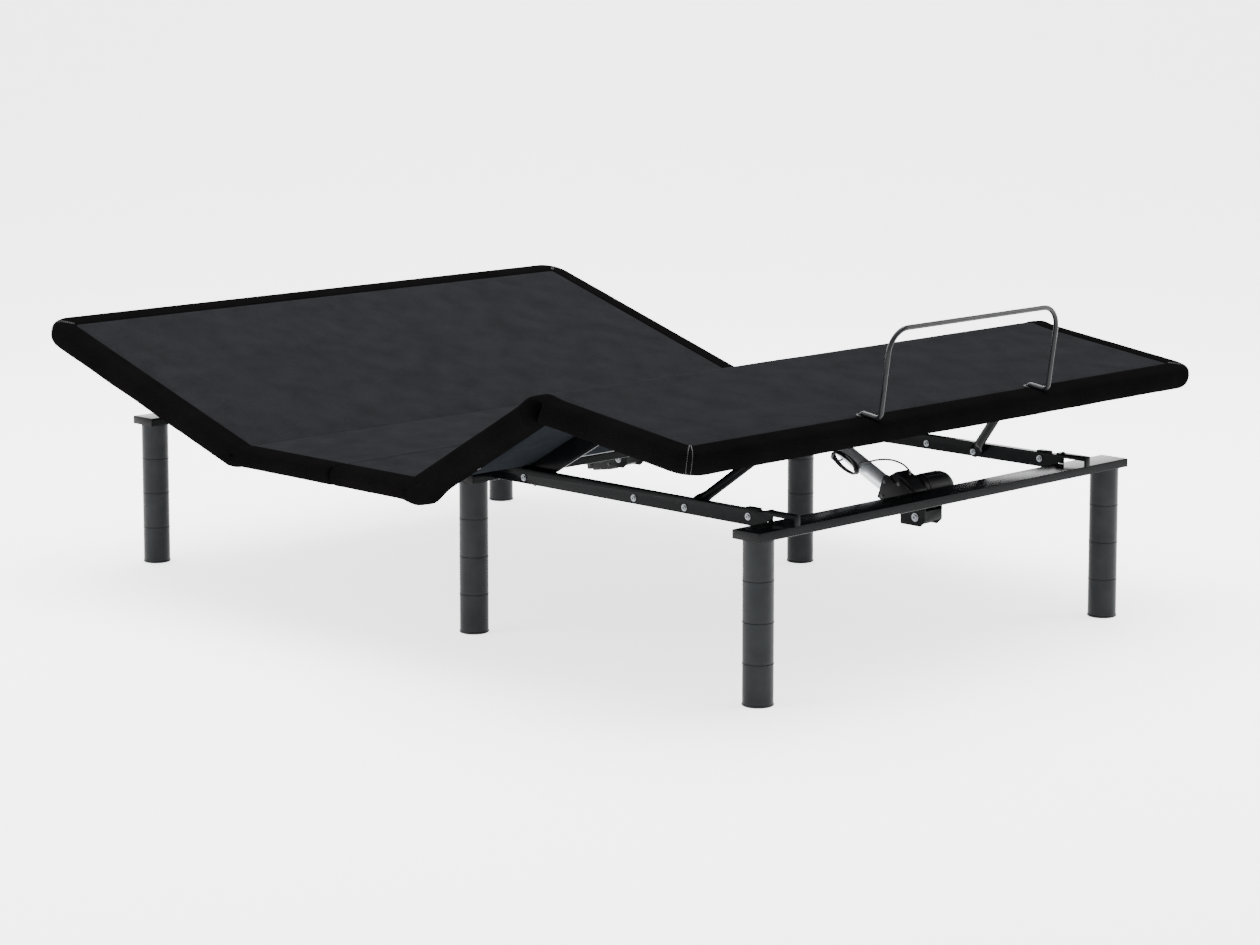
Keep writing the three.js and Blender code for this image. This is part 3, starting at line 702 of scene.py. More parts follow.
def bolts(name, spots, body, scale=1.0, finish="zinc"):
    """Bolt heads at (point, facing) spots on one body."""
    sizes = bpy.context.scene.bed_frame
    values = {
        "Head Radius": sizes.bolt_radius * scale,
        "Head Height": sizes.bolt_height * scale,
        "Washer Radius": sizes.washer_radius * scale,
        "Finish": FINISH[finish],
        "Socket Shade Finish": FINISH["recess"],
    }
    points = [spot[0] for spot in spots]
    arrows = [tuple(Vector(spot[1]).normalized()) for spot in spots]
    return grown(name, points, [], TREES["bolts"], values, body, arrows)


# ---------------------------------------------------------------- covers


def depth_at(y):
    """Depth of the pad's edge at a flat place along the deck."""
    sizes = bpy.context.scene.bed_cover
    if y >= SPLIT:
        share = ease((y - HEAD_HINGE + 0.012) / 0.03)
        return sizes.seat_depth + (sizes.head_depth - sizes.seat_depth) * share
    if y >= JOIN:
        share = ease((THIGH_HINGE + 0.012 - y) / 0.03)
        full = 0.007 * math.exp(-(((y - THIGH_HINGE + 0.022) / 0.030) ** 2))
        return sizes.seat_depth + (sizes.thigh_depth - sizes.seat_depth) * share + full
    share = ease((KNEE[0] + 0.02 - y) / 0.04)
    return sizes.thigh_depth + (sizes.foot_depth - sizes.thigh_depth) * share


def edge_profile(depth):
    """Section of the border as (inset, depth) points, round a closed loop."""
    top, low = 0.016, min(0.020, depth - 0.018)
    points = [
        (0.0495, 0.0030), (0.0487, 0.0006), (0.0470, -0.0004), (0.0420, -0.0009), (0.0330, -0.0008),
        (0.0240, -0.0004),
    ]
    for k in range(7):
        angle = math.pi / 2 * k / 6
        points.append((top * (1 - math.sin(angle)), top * (1 - math.cos(angle))))
    points.append((-0.0006, (top + depth - low) / 2))
    for k in range(7):
        angle = math.pi / 2 * k / 6
        points.append((low * (1 - math.cos(angle)), depth - low * (1 - math.sin(angle))))
    points += [
        (0.0300, depth + 0.0004), (0.0400, depth + 0.0002), (0.0440, depth - 0.0008),
        (0.0460, depth - 0.0035), (0.0466, depth - 0.0100), (0.0472, depth * 0.5), (0.0486, 0.0125),
    ]
    return points


def spread(y0, y1, focus, fine=0.0016, coarse=0.014):
    """Places from y0 to y1, close together near each focus."""
    way = 1 if y1 > y0 else -1
    places = [y0]
    while (y1 - places[-1]) * way > 1e-6:
        near = min([abs(places[-1] - f) for f in focus] + [0.2])
        step = fine if near < 0.040 else min(coarse, fine + (near - 0.040) * 0.35)
        nxt = places[-1] + way * step
        places.append(y1 if (y1 - nxt) * way < fine * 0.6 else nxt)
    return places


def border_loop(y0, y1, focus, round_end):
    """Stations of the border: (outer point, inner point, arc share)."""
    sizes = bpy.context.scene.bed_cover
    half, inset, corner = sizes.half_width, sizes.border, sizes.corner
    inner_corner = 0.012
    way = 1 if y1 > y0 else -1
    if not round_end:
        side = [(Vector((half, y)), Vector((half - inset, y))) for y in spread(y0, y1, focus)]
        return [side]
    turn_at = y1 - way * 0.130
    side = [(Vector((half, y)), Vector((half - inset, y))) for y in spread(y0, turn_at, focus)]
    outer_end, inner_end = y1 - way * corner, y1 - way * (inset + inner_corner)
    for k in range(1, 13):
        share = k / 12
        side.append((
            Vector((half, turn_at + (outer_end - turn_at) * share)),
            Vector((half - inset, turn_at + (inner_end - turn_at) * share)),
        ))
    for k in range(1, 19):
        angle = math.pi / 2 * k / 18
        c, s = math.cos(angle), math.sin(angle)
        side.append((
            Vector((half - corner + corner * c, outer_end + way * corner * s)),
            Vector((half - inset - inner_corner + inner_corner * c, inner_end + way * inner_corner * s)),
        ))
    loop = list(side)
    x_outer, x_inner = half - corner, half - inset - inner_corner
    for k in range(1, 60):
        share = k / 60
        loop.append((
            Vector((x_outer * (1 - 2 * share), y1)),
            Vector((x_inner * (1 - 2 * share), y1 - way * inset)),
        ))
    for outer, inner in reversed(side):
        loop.append((Vector((-outer.x, outer.y)), Vector((-inner.x, inner.y))))
    return [loop]


def cloth_wave(x, y, z, size, scale):
    """Slow unevenness of cloth pulled over foam."""
    return size * noise.noise(Vector((x * scale, y * scale, z * scale + 3.7)))


def side_marks(y, inset, d, depth, marks):
    """How far the border's side is pushed in by gathers and the knee's fold."""
    share = max(0.0, 1 - inset / 0.046)
    on_side = share * ease((d - 0.001) / 0.013)
    push = 0.0
    for kind, place in marks:
        away = y - place
        if kind == "gather":
            ring = math.hypot(away - 0.004, 0.85 * (depth - d))
            fade = math.exp(-(((ring - 0.024) / 0.013) ** 2)) * ease((away + 0.022) / 0.016)
            push += on_side * fade * 0.0019 * (1 + math.cos(2 * math.pi * ring / 0.0082))
            push += on_side * 0.0030 * math.exp(-((away / 0.005) ** 2))
        elif kind == "knee":
            wide = 0.0030 + 0.0080 * (1 - ease((d - 0.004) / (depth - 0.004)))
            push += on_side * 0.030 * math.exp(-(((away + 0.007) / wide) ** 2))
            push -= on_side * 0.0030 * math.exp(-(((away - 0.016) / 0.008) ** 2))
    return push


def make_border(loop, place, soft_ends, marks):
    """Border strip along its stations; soft_ends says which ends are rounded over."""
    border = bpy.context.scene.bed_cover.border
    vertices, faces = [], []
    count = len(loop)
    ring = len(edge_profile(0.05))
    lengths = [0.0]
    for i in range(1, count):
        lengths.append(lengths[-1] + (loop[i][0] - loop[i - 1][0]).length)
    for i, (outer, inner) in enumerate(loop):
        depth = depth_at(outer.y)
        gone = min(
            lengths[i] if soft_ends[0] else 1.0, lengths[-1] - lengths[i] if soft_ends[1] else 1.0
        )
        for inset, d in edge_profile(depth):
            round_over = 0.003 + 0.006 * ease((0.034 - inset) / 0.02)
            reach = max(0.0, 1 - gone / round_over)
            pull = round_over * (1 - math.sqrt(max(0.0, 1 - reach * reach)))
            t, e = inset, d
            if pull:
                core_t = min(max(inset, 0.012), border - 0.010)
                core_d = min(max(d, 0.011), depth - 0.011)
                gap = math.hypot(core_t - inset, core_d - d)
                if gap > 1e-6:
                    t += (core_t - inset) / gap * min(pull, gap)
                    e += (core_d - d) / gap * min(pull, gap)
            spot = outer.lerp(inner, t / border)
            push = side_marks(spot.y, inset, d, depth, marks)
            wave = cloth_wave(spot.x, spot.y, d, 0.0009, 16) + cloth_wave(spot.x, spot.y, d, 0.0004, 60)
            if inset < 0.040:
                spot = spot.lerp(inner, (push + wave * ease((0.040 - inset) / 0.03)) / border)
            lift = wave * 0.5 if 0.004 < inset < 0.043 else 0.0
            vertices.append(place(Vector((spot.x, spot.y, TOP - e + lift))))
    for i in range(count - 1):
        for k in range(ring):
            n = (k + 1) % ring
            a, b = i * ring, (i + 1) * ring
            faces.append([a + k, a + n, b + n, b + k])
    for start in (0, (count - 1) * ring):
        faces.append([start + k for k in range(ring)])
    return vertices, faces


def corner_seams(name, y_end, place, body):
    """Two rows of stitches over each outer corner of a section."""
    sizes = bpy.context.scene.bed_cover
    half, border, corner = sizes.half_width, sizes.border, sizes.corner
    way = 1 if y_end > 0 else -1
    depth = depth_at(y_end)
    profile = [p for p in edge_profile(depth)[3:22]]
    points, edges = [], []
    for side in (-1, 1):
        for shift in (-0.0045, 0.0045):
            angle = math.pi / 4 + shift / corner
            c, s = math.cos(angle), math.sin(angle)
            outer = Vector((side * (half - corner + corner * c), y_end - way * corner * (1 - s)))
            inner = Vector((
                side * (half - border - 0.012 * (1 - c)), y_end - way * (border + 0.012 * (1 - s)),
            ))
            base = len(points)
            for inset, d in profile:
                out = outer.lerp(inner, (inset - 0.0004) / border)
                lift = 0.0005 if inset > 0.010 and d < depth / 2 else 0.0
                points.append(place(Vector((out.x, out.y, TOP - d + lift))))
            edges += [(base + k, base + k + 1) for k in range(len(profile) - 1)]
    values = {
        "Pitch": sizes.stitch_pitch, "Bar Length": sizes.stitch_pitch * 0.72, "Wire": 0.0008,
        "Finish": FINISH["thread"],
    }
    grown(name, points, edges, TREES["staples"], values, body)


def make_panel(y0, y1, focus, place, soft_start, round_end, seams):
    """The grey panel between the borders: a thin closed slab of cloth."""
    sizes = bpy.context.scene.bed_cover
    half = sizes.half_width - sizes.border - 0.0008
    way = 1 if y1 > y0 else -1
    last = y1 - way * (sizes.border + 0.0010) if round_end else y1
    places = spread(y0, last, focus + ([last] if round_end else []))
    columns = [-half, -half + 0.002, -half + 0.005, -half + 0.010, -half + 0.018]
    columns += [(-half + 0.03) + (2 * half - 0.06) * k / 56 for k in range(57)]
    columns += [-c for c in reversed(columns[:5])]
    vertices, faces = [], []
    rows, width = len(places), len(columns)
    for low in (False, True):
        for y in places:
            for x in columns:
                edge = half - abs(x)
                if round_end:
                    edge = min(edge, abs(last - y))
                d = 0.0016 - 0.0013 * ease(edge / 0.012)
                d -= cloth_wave(x, y, 0, 0.0007, 7) * ease(edge / 0.03)
                for _, at, deep, wide in seams:
                    d += deep * math.exp(-(((y - at) / wide) ** 2))
                if soft_start:
                    gone = abs(y - y0)
                    d += 0.0022 * (1 - ease(gone / 0.004))
                if low:
                    d = max(d + 0.0006, 0.0027)
                vertices.append(place(Vector((x, y, TOP - d))))
    base = rows * width
    for i in range(rows - 1):
        for k in range(width - 1):
            a = i * width + k
            faces.append([a, a + 1, a + width + 1, a + width])
            b = base + a
            faces.append([b, b + width, b + width + 1, b + 1])
    for i in range(rows - 1):
        for k in (0, width - 1):
            a, b = i * width + k, (i + 1) * width + k
            faces.append([a, b, base + b, base + a])
    for i in (0, rows - 1):
        for k in range(width - 1):
            a = i * width + k
            faces.append([a, a + 1, base + a + 1, base + a])
    return vertices, faces


def make_cover(name, y0, y1, focus, place, soft_start, round_end, marks, seams):
    """Border and panel of one cover as one piece."""
    parts = []
    for loop in border_loop(y0, y1, focus, round_end):
        if round_end:
            parts.append(make_border(loop, place, (soft_start, soft_start), marks))
        else:
            parts.append(make_border(loop, place, (soft_start, False), marks))
            other = [(Vector((-o.x, o.y)), Vector((-i.x, i.y))) for o, i in loop]
            parts.append(make_border(other, place, (soft_start, False), marks))
    border_faces = sum(len(p[1]) for p in parts)
    parts.append(make_panel(y0, y1, focus, place, soft_start, round_end, seams))
    vertices, faces = join_parts(parts)
    indices = [0] * border_faces + [1] * (len(faces) - border_faces)
    return make_object(name, vertices, faces, [FINISH["border"], FINISH["panel"]], indices, sharp=50)


def row(point):
    """A drawing point (y, z) as a point of the row frame."""
    return (0.0, point[0] + Y0, point[1])


class BED_OT_head_cover(bpy.types.Operator):
    """Cover of the seat's head half and the head section"""

    bl_idname = "bed.head_cover"
    bl_label = "Head Cover"

    def execute(self, context):
        marks = [("gather", HEAD_HINGE + 0.004)]
        seams = [("seam", HEAD_HINGE, 0.0012, 0.0022)]
        piece = make_cover(
            "head_cover", SPLIT + 0.0012, HEAD_END, [HEAD_HINGE, SPLIT], head_place, True, True, marks, seams
        )
        start = (HEAD_HINGE - 0.014, HINGE_Z)
        end = (HEAD_HINGE + 0.014 * math.cos(HEAD_ANGLE), HINGE_Z + 0.014 * math.sin(HEAD_ANGLE))
        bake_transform(piece, "frame", "head_section", start=row(start), end=row(end))
        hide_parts("seat_pad_head", "head_pad")
        corner_seams("head_corner_stitches", HEAD_END, head_place, "head_section")
        return {"FINISHED"}


class BED_OT_thigh_cover(bpy.types.Operator):
    """Cover of the seat's foot half and the lower part of the thigh section"""

    bl_idname = "bed.thigh_cover"
    bl_label = "Thigh Cover"

    def execute(self, context):
        marks = [("gather", THIGH_HINGE + 0.002)]
        seams = [("seam", THIGH_HINGE, 0.0006, 0.004)]
        piece = make_cover(
            "thigh_cover", SPLIT - 0.0012, JOIN, [THIGH_HINGE, SPLIT], thigh_place, True, False, marks, seams
        )
        start = (THIGH_HINGE + 0.014, HINGE_Z)
        end = (
            THIGH_HINGE - 0.014 * math.cos(THIGH_ANGLE), HINGE_Z + 0.014 * math.sin(THIGH_ANGLE),
        )
        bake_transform(piece, "frame", "thigh_section", start=row(start), end=row(end))
        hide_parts("seat_pad_foot")
        return {"FINISHED"}


class BED_OT_foot_cover(bpy.types.Operator):
    """Cover of the upper part of the thigh section and the foot section"""

    bl_idname = "bed.foot_cover"
    bl_label = "Foot Cover"

    def execute(self, context):
        marks = [("knee", KNEE[0])]
        piece = make_cover(
            "foot_cover", JOIN, FOOT_END, [KNEE[0]], foot_place, False, True, marks, []
        )
        knee = about_x((0, *KNEE), (THIGH_HINGE, HINGE_Z), -THIGH_ANGLE)
        a, b = THIGH_ANGLE, THIGH_ANGLE - FOLD_ANGLE
        start = (knee.y + 0.012 * math.cos(a), knee.z - 0.012 * math.sin(a))
        end = (knee.y - 0.012 * math.cos(b), knee.z + 0.012 * math.sin(b))
        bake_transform(piece, "thigh_section", "foot_section", start=row(start), end=row(end))
        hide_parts("thigh_pad", "foot_pad")
        corner_seams("foot_corner_stitches", FOOT_END, foot_place, "foot_section")
        return {"FINISHED"}


class BED_OT_hem_staples(bpy.types.Operator):
    """Staples that hold the covers' hems under the boards"""

    bl_idname = "bed.hem_staples"
    bl_label = "Hem Staples"

    def execute(self, context):
        sizes = context.scene.bed_cover
        values = {
            "Pitch": sizes.hem_pitch, "Bar Length": 0.010, "Wire": 0.0011, "Finish": FINISH["zinc"],
        }
        rows = (
            ("head", "head_section", 0.46, 1.04, sizes.head_depth, head_place),
            ("seat", "frame", -0.06, 0.41, sizes.seat_depth, lambda p: p),
            ("thigh", "thigh_section", -0.12, -0.26, sizes.thigh_depth, thigh_place),
            ("foot", "foot_section", -0.50, -0.82, sizes.foot_depth, foot_place),
        )
        for name, body, y0, y1, depth, place in rows:
            points, edges = [], []
            for x in (-0.716, 0.716):
                base = len(points)
                for y in (y0, y1):
                    points.append(place(Vector((x, y, TOP - depth - 0.0010))))
                edges.append((base, base + 1))
            grown(name + "_hem_staples", points, edges, TREES["staples"], values, body)
        return {"FINISHED"}


# ---------------------------------------------------------------- frame pieces


class BED_OT_legs(bpy.types.Operator):
    """Six round legs of four screwed sections"""

    bl_idname = "bed.legs"
    bl_label = "Legs"

    def execute(self, context):
        radius = context.scene.bed_frame.leg_radius
        seams = (0.078, 0.1535, 0.229)
        profile = [
            (0.0, 0.0), (radius - 0.003, 0.0), (radius - 0.0005, 0.0004), (radius + 0.0008, 0.0014),
            (radius + 0.0011, 0.0028), (radius + 0.0008, 0.0042), (radius, 0.0052), (radius, 0.0120),
        ]
        for seam in seams:
            profile += [
                (radius, seam - 0.0090), (radius, seam - 0.0012), (radius + 0.0007, seam - 0.0009),
                (radius + 0.0007, seam - 0.0003), (radius - 0.0008, seam - 0.0001),
                (radius - 0.0008, seam + 0.0004), (radius - 0.0001, seam + 0.0008),
                (radius, seam + 0.0016), (radius, seam + 0.0090),
            ]
        profile += [(radius, 0.2950), (radius, 0.3024), (radius - 0.0008, 0.3034), (0.0, 0.3034)]
        for spot, (x, y) in LEG_SPOTS.items():
            turned = lathe(profile[1:-1], (x, y, 0), "Z", 56)
            piece = make_object("leg_" + spot, *turned, [FINISH["leg"]], sharp=28)
            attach(piece, "frame")
            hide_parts(*[f"leg_{spot}_section_{i}" for i in (1, 2, 3, 4)])
        return {"FINISHED"}


def bar_ring(y, z0, z1, half_y, radius, inset):
    """Rounded rectangle (y, z) round a bar, moved in by inset."""
    points = []
    r = max(radius - inset, 0.0004)
    for cy, cz, start in (
        (half_y - radius, z1 - radius, 0), (-half_y + radius, z1 - radius, 90),
        (-half_y + radius, z0 + radius, 180), (half_y - radius, z0 + radius, 270),
    ):
        for k in range(6):
            angle = math.radians(start + 90 * k / 5)
            points.append((y + cy + r * math.cos(angle), cz + r * math.sin(angle)))
    return points


class BED_OT_crossbars(bpy.types.Operator):
    """Three crossbars: box tubes with moulded end caps"""

    bl_idname = "bed.crossbars"
    bl_label = "Crossbars"

    def execute(self, context):
        wall = context.scene.bed_frame.bar_wall
        for name, y, half in (
            ("foot_crossbar", -0.77105, 0.545), ("middle_crossbar", 0.0173, 0.512),
            ("head_crossbar", 1.0102, 0.5435),
        ):
            z0, z1, half_y = 0.3039, 0.3212, 0.03285
            outer = bar_ring(y, z0, z1, half_y, 0.0026, 0.0)
            inner = bar_ring(y, z0, z1, half_y, 0.0026, wall)
            count = len(outer)
            stations = [-half + 0.0025, -half + 0.003, half - 0.003, half - 0.0025]
            vertices, faces = [], []
            for x in stations:
                vertices += [Vector((x, a, b)) for a, b in outer]
                vertices += [Vector((x, a, b)) for a, b in inner]
            step = 2 * count
            for i in range(len(stations) - 1):
                for k in range(count):
                    n = (k + 1) % count
                    a, b = i * step, (i + 1) * step
                    faces.append([a + k, a + n, b + n, b + k])
                    faces.append([a + count + k, b + count + k, b + count + n, a + count + n])
            for i in (0, len(stations) - 1):
                for k in range(count):
                    n = (k + 1) % count
                    a = i * step
                    faces.append([a + k, a + n, a + count + n, a + count + k])
            piece = make_object(name + "_tube", vertices, faces, [FINISH["frame"]], sharp=40)
            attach(piece, "frame")
            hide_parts(name)
            caps = []
            for side in (-1, 1):
                a, b = side * (half - 0.0025), side * half
                low = (min(a, b), y - half_y + 0.0002, z0 + 0.0002)
                high = (max(a, b), y + half_y - 0.0002, z1 - 0.0002)
                caps.append(block(low, high, 0.001, 2))
                c = side * (half - 0.016)
                low = (min(a, c), y - half_y + 0.0026, z0 + 0.0026)
                high = (max(a, c), y + half_y - 0.0026, z1 - 0.0026)
                caps.append(block(low, high, 0.0008, 2))
            cap = make_object(name + "_end_caps", *join_parts(caps), [FINISH["cap"]])
            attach(cap, "frame")
        return {"FINISHED"}


class BED_OT_rail_details(bpy.types.Operator):
    """Bolts, washers and studs of the rails, hooks and brackets"""

    bl_idname = "bed.rail_details"
    bl_label = "Rail Details"

    def execute(self, context):
        out = (-1, 0, 0)
        spots = []
        for x in (-0.453, 0.402):
            for y, z in ((-0.099, 0.320), (-0.400, 0.320), (-0.532, 0.3195), (-0.692, 0.3247)):
                spots.append(((x - 0.0008, y, z), out))
            for y, z in ((0.300, 0.320), (0.640, 0.320), (0.931, 0.3247)):
                spots.append(((x - 0.0008, y, z), out))
        bolts("rail_bolts", spots, "frame", 0.95)
        tops = []
        for x in (-0.4455, 0.4095):
            for y in (-0.745, 0.985):
                tops.append(((x, y, 0.3421), (0, 0, 1)))
        bolts("hook_bolts", tops, "frame", 0.62, "frame")
        for name, pivot, body in (("knee", KNEE_PIVOT, "frame"), ("head", HEAD_PIVOT, "frame")):
            y, z, _ = pivot
            cheeks = [((DRIVE_X - 0.0268, y, z), out), ((DRIVE_X + 0.0268, y, z), (1, 0, 0))]
            bolts(name + "_pivot_bolts", cheeks, body, 1.15)
        boxes = []
        for x in (-0.4455, 0.4095):
            for y in (-0.804, 1.0431):
                low, high = (x - 0.0042, y - 0.0042, 0.3405), (x + 0.0042, y + 0.0042, 0.3419)
                boxes.append(block(low, high, 0.0006, 2))
        recess = make_object("hook_post_plugs", *join_parts(boxes), [FINISH["cap"]])
        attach(recess, "frame")
        return {"FINISHED"}


class BED_OT_foot_links(bpy.types.Operator):
    """Round link arms with flattened ends between the rails and the foot frame"""

    bl_idname = "bed.foot_links"
    bl_label = "Foot Links"

    def execute(self, context):
        low, top = (-0.532, 0.320), (-0.665, 0.441)
        for name, body, x0, x1, out in (
            ("left_foot_link", "left_link", -0.427, -0.356, -1),
            ("right_foot_link", "right_link", 0.394, 0.323, 1),
        ):
            a, b = Vector((x0, *low)), Vector((x1, *top))
            way = (b - a).normalized()
            flat = Vector((1, 0, 0))
            wide = way.cross(flat).normalized()
            deep = wide.cross(way).normalized()
            length_ab = (b - a).length
            vertices, faces, sides = [], [], 24
            stations = []
            for k in range(41):
                s = -0.012 + (length_ab + 0.024) * k / 40
                stations.append(s)
            for s in stations:
                near = min(s + 0.012, length_ab + 0.012 - s)
                squash = 1 - ease((near - 0.026) / 0.026)
                thin = 0.0095 * (1 - squash) + 0.0036 * squash
                broad = 0.0095 * (1 - squash) + 0.0125 * squash
                tip = math.sqrt(max(0.02, 1 - max(0.0, 1 - near / 0.0125) ** 2))
                broad *= tip if near < 0.0125 else 1
                straight = a + way * s
                if squash > 0.5:
                    anchor = x0 if s < length_ab / 2 else x1
                    straight.x += (anchor - straight.x) * (squash - 0.5) * 2
                side = deep.lerp(flat, squash).normalized()
                for k in range(sides):
                    angle = 2 * math.pi * k / sides
                    offset = side * thin * math.cos(angle) + wide * broad * math.sin(angle)
                    vertices.append(straight + offset)
            for i in range(len(stations) - 1):
                for k in range(sides):
                    n = (k + 1) % sides
                    p, q = i * sides, (i + 1) * sides
                    faces.append([p + k, p + n, q + n, q + k])
            faces.append(list(range(sides))[::-1])
            faces.append([(len(stations) - 1) * sides + k for k in range(sides)])
            parts = [(vertices, faces)]
            pin_low = -0.4502 if x0 < 0 else 0.4017
            pin_top = -0.3473 if x0 < 0 else 0.3143
            for x, other, (y, z) in ((x0, pin_low, low), (x1, pin_top, top)):
                h0, h1 = min(x, other), max(x, other)
                parts.append(lathe([(0.004, h0), (0.004, h1)], (0, y, z), "X", 20))
            piece = make_object(name + "_arm", *join_parts(parts), [FINISH["frame"]], sharp=40)
            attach(piece, body)
            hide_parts(name)
            inner = -out
            spots = [
                ((x0 + inner * 0.0046, *low), (inner, 0, 0)), ((x1 + out * 0.0046, *top), (out, 0, 0)),
            ]
            bolts(name + "_bolts", spots, body, 0.9)
        return {"FINISHED"}


class BED_OT_retainer_bar(bpy.types.Operator):
    """Bent wire bar that keeps the mattress in place, with its feet and grommets"""

    bl_idname = "bed.retainer_bar"
    bl_label = "Retainer Bar"

    def execute(self, context):
        radius = context.scene.bed_frame.wire_radius
        x, foot, end, rise = 0.247, KNEE[0] - 0.3462, KNEE[0] - 0.3922, TOP + 0.173
        low = TOP + radius + 0.0003
        corners = [
            (-x, foot, TOP - 0.014), (-x, foot, low), (-x, end, low), (-x, end, rise),
            (x, end, rise), (x, end, low), (x, foot, low), (x, foot, TOP - 0.014),
        ]
        path = rounded_path(corners, [0.006, 0.012, 0.046, 0.046, 0.012, 0.006], 12)
        placed = [foot_place(p) for p in path]
        piece = make_object("retainer_bar", *sweep(placed, radius, 24), [FINISH["bar"]], sharp=50)
        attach(piece, "foot_section")
        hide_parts("mattress_retainer_bar")
        rings = []
        for side in (-1, 1):
            profile = [
                (0.0062, -0.0004), (0.0098, -0.0004), (0.0102, 0.0004), (0.0098, 0.0014),
                (0.0080, 0.0019), (0.0062, 0.0016),
            ]
            points, faces = lathe(profile + profile[:1], (side * x, foot, TOP), "Z", 32)
            rings.append(([foot_place(p) for p in points], faces[:-2]))
        collar = make_object("retainer_grommets", *join_parts(rings), [FINISH["cap"]])
        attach(collar, "foot_section")
        return {"FINISHED"}


# ---------------------------------------------------------------- drives


def make_drive(prefix, pivot, reach, tube_end, body, stem_body):
    """Gear housing, motor, tube and stem of one linear drive."""
    sizes = bpy.context.scene.bed_drive
    x = DRIVE_X
    core = [
        (-0.013, -0.010), (-0.004, -0.015), (0.030, -0.020), (0.100, -0.0205), (0.1035, 0.0195),
        (0.086, 0.046), (0.058, 0.046), (0.032, 0.038), (-0.0045, 0.012), (-0.013, 0.008),
    ]
    notched = [
        (-0.013, -0.010), (-0.004, -0.015), (0.030, -0.020), (0.1016, -0.0225), (0.1066, 0.0225),
        (0.099, 0.0308), (0.0763, 0.0254), (0.0712, 0.0392), (0.033, 0.0368), (-0.0045, 0.012),
        (-0.013, 0.008),
    ]
    parts = [slab(core, x - 0.0168, x + 0.020, 0.0016, 2), slab(notched, x - 0.0200, x - 0.0172, 0.0009, 2)]
    foot = [(0.040, -0.024), (0.094, -0.026), (0.094, -0.019), (0.040, -0.017)]
    parts.append(slab(foot, x - 0.012, x + 0.012, 0.001, 2))
    housing = join_parts([tilted(p, pivot) for p in parts])
    piece = make_object(prefix + "_gear_housing", *housing, [FINISH["plastic"]], sharp=30)
    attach(piece, body)
    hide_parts(prefix + "_gearbox")
    r = sizes.motor_radius
    start = 0.0203
    profile = [
        (0.012, start), (r - 0.003, start), (r - 0.0006, start + 0.001), (r, start + 0.003),
        (r, start + 0.010),
        (r - 0.0012, start + 0.0112), (r - 0.0012, start + 0.0150), (r, start + 0.0162),
        (r, start + 0.074), (r - 0.0006, start + 0.079), (r - 0.003, start + 0.086),
        (r - 0.008, start + 0.093),
        (r - 0.014, start + 0.0975), (r - 0.020, start + 0.0992), (0.004, start + 0.0995),
    ]
    motor = [lathe(profile, (x, 0.055, 0.015), "X", 48)]
    for k in range(10):
        angle = 2 * math.pi * k / 10 + 0.3
        cy, cz = 0.055 + (r - 0.0002) * math.cos(angle), 0.015 + (r - 0.0002) * math.sin(angle)
        low = (x + start + 0.020, cy - 0.0009, cz - 0.0009)
        high = (x + start + 0.072, cy + 0.0009, cz + 0.0009)
        motor.append(block(low, high, 0.0005, 1))
    body_mesh = join_parts([tilted(p, pivot) for p in motor])
    piece = make_object(prefix + "_motor_body", *body_mesh, [FINISH["plastic"]], sharp=30)
    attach(piece, body)
    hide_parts(prefix + "_motor")
    t = sizes.tube_radius
    first = 0.1067
    profile = [
        (0.0106, first), (t - 0.0008, first), (t, first + 0.0008), (t, tube_end - 0.012),
        (t, tube_end - 0.0008), (t - 0.0008, tube_end), (0.0106, tube_end), (0.0106, first + 0.006),
    ]
    shell = lathe(profile, (x, 0, 0), "Y", 48)
    shell = (shell[0], shell[1][:-2])
    count = 48
    last = (len(profile) - 1) * count
    closing = [[last + k, last + (k + 1) % count, (k + 1) % count, k] for k in range(count)]
    shell[1].extend(closing)
    piece = make_object(prefix + "_tube", *tilted(shell, pivot), [FINISH["tube"]], sharp=40)
    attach(piece, body)
    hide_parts(prefix + "_outer_tube")
    collars = []
    for a, b, extra in ((tube_end - 0.008, tube_end - 0.0005, 0.0012),):
        ring = [
            (t + 0.0002, a), (t + extra - 0.0006, a), (t + extra, a + 0.0008), (t + extra, b - 0.0008),
            (t + extra - 0.0006, b), (t + 0.0002, b),
        ]
        made = lathe(ring, (x, 0, 0), "Y", 48)
        made = (made[0], made[1][:-2])
        end = (len(ring) - 1) * 48
        made[1].extend([[end + k, end + (k + 1) % 48, (k + 1) % 48, k] for k in range(48)])
        collars.append(tilted(made, pivot))
    piece = make_object(prefix + "_tube_collars", *join_parts(collars), [FINISH["plastic"]], sharp=40)
    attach(piece, body)
    s = sizes.rod_radius
    profile = [(s - 0.001, reach - 0.200), (s, reach - 0.199), (s, reach - 0.016), (s - 0.001, reach - 0.008)]
    rod = lathe(profile, (x, 0, 0), "Y", 40)
    eye = lathe([(0.0110, -0.012), (0.012, -0.011), (0.012, 0.011), (0.0110, 0.012)], (x, reach, 0), "X", 40)
    piece = make_object(
        prefix + "_stem", *join_parts([tilted(rod, pivot), tilted(eye, pivot)]), [FINISH["stem"]], sharp=40
    )
    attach(piece, stem_body)
    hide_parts(prefix + "_rod")
    turn = Matrix.Rotation(pivot[2], 3, "X")
    screws = []
    for a, b in ((0.0992, 0.0143), (0.0673, 0.0301), (0.092, -0.014), (0.036, -0.012)):
        for way in (-1, 1):
            if way > 0 and math.hypot(a - 0.055, b - 0.015) < 0.04:
                continue
            spot = turn @ Vector((0, a, b)) + Vector((x + way * 0.0204, pivot[0], pivot[1]))
            screws.append((spot, (way, 0, 0)))
    # These screw heads and washers take the same near-black finish as the painted socket shade.
    bolts(prefix + "_housing_screws", screws, body, 0.55, "recess")


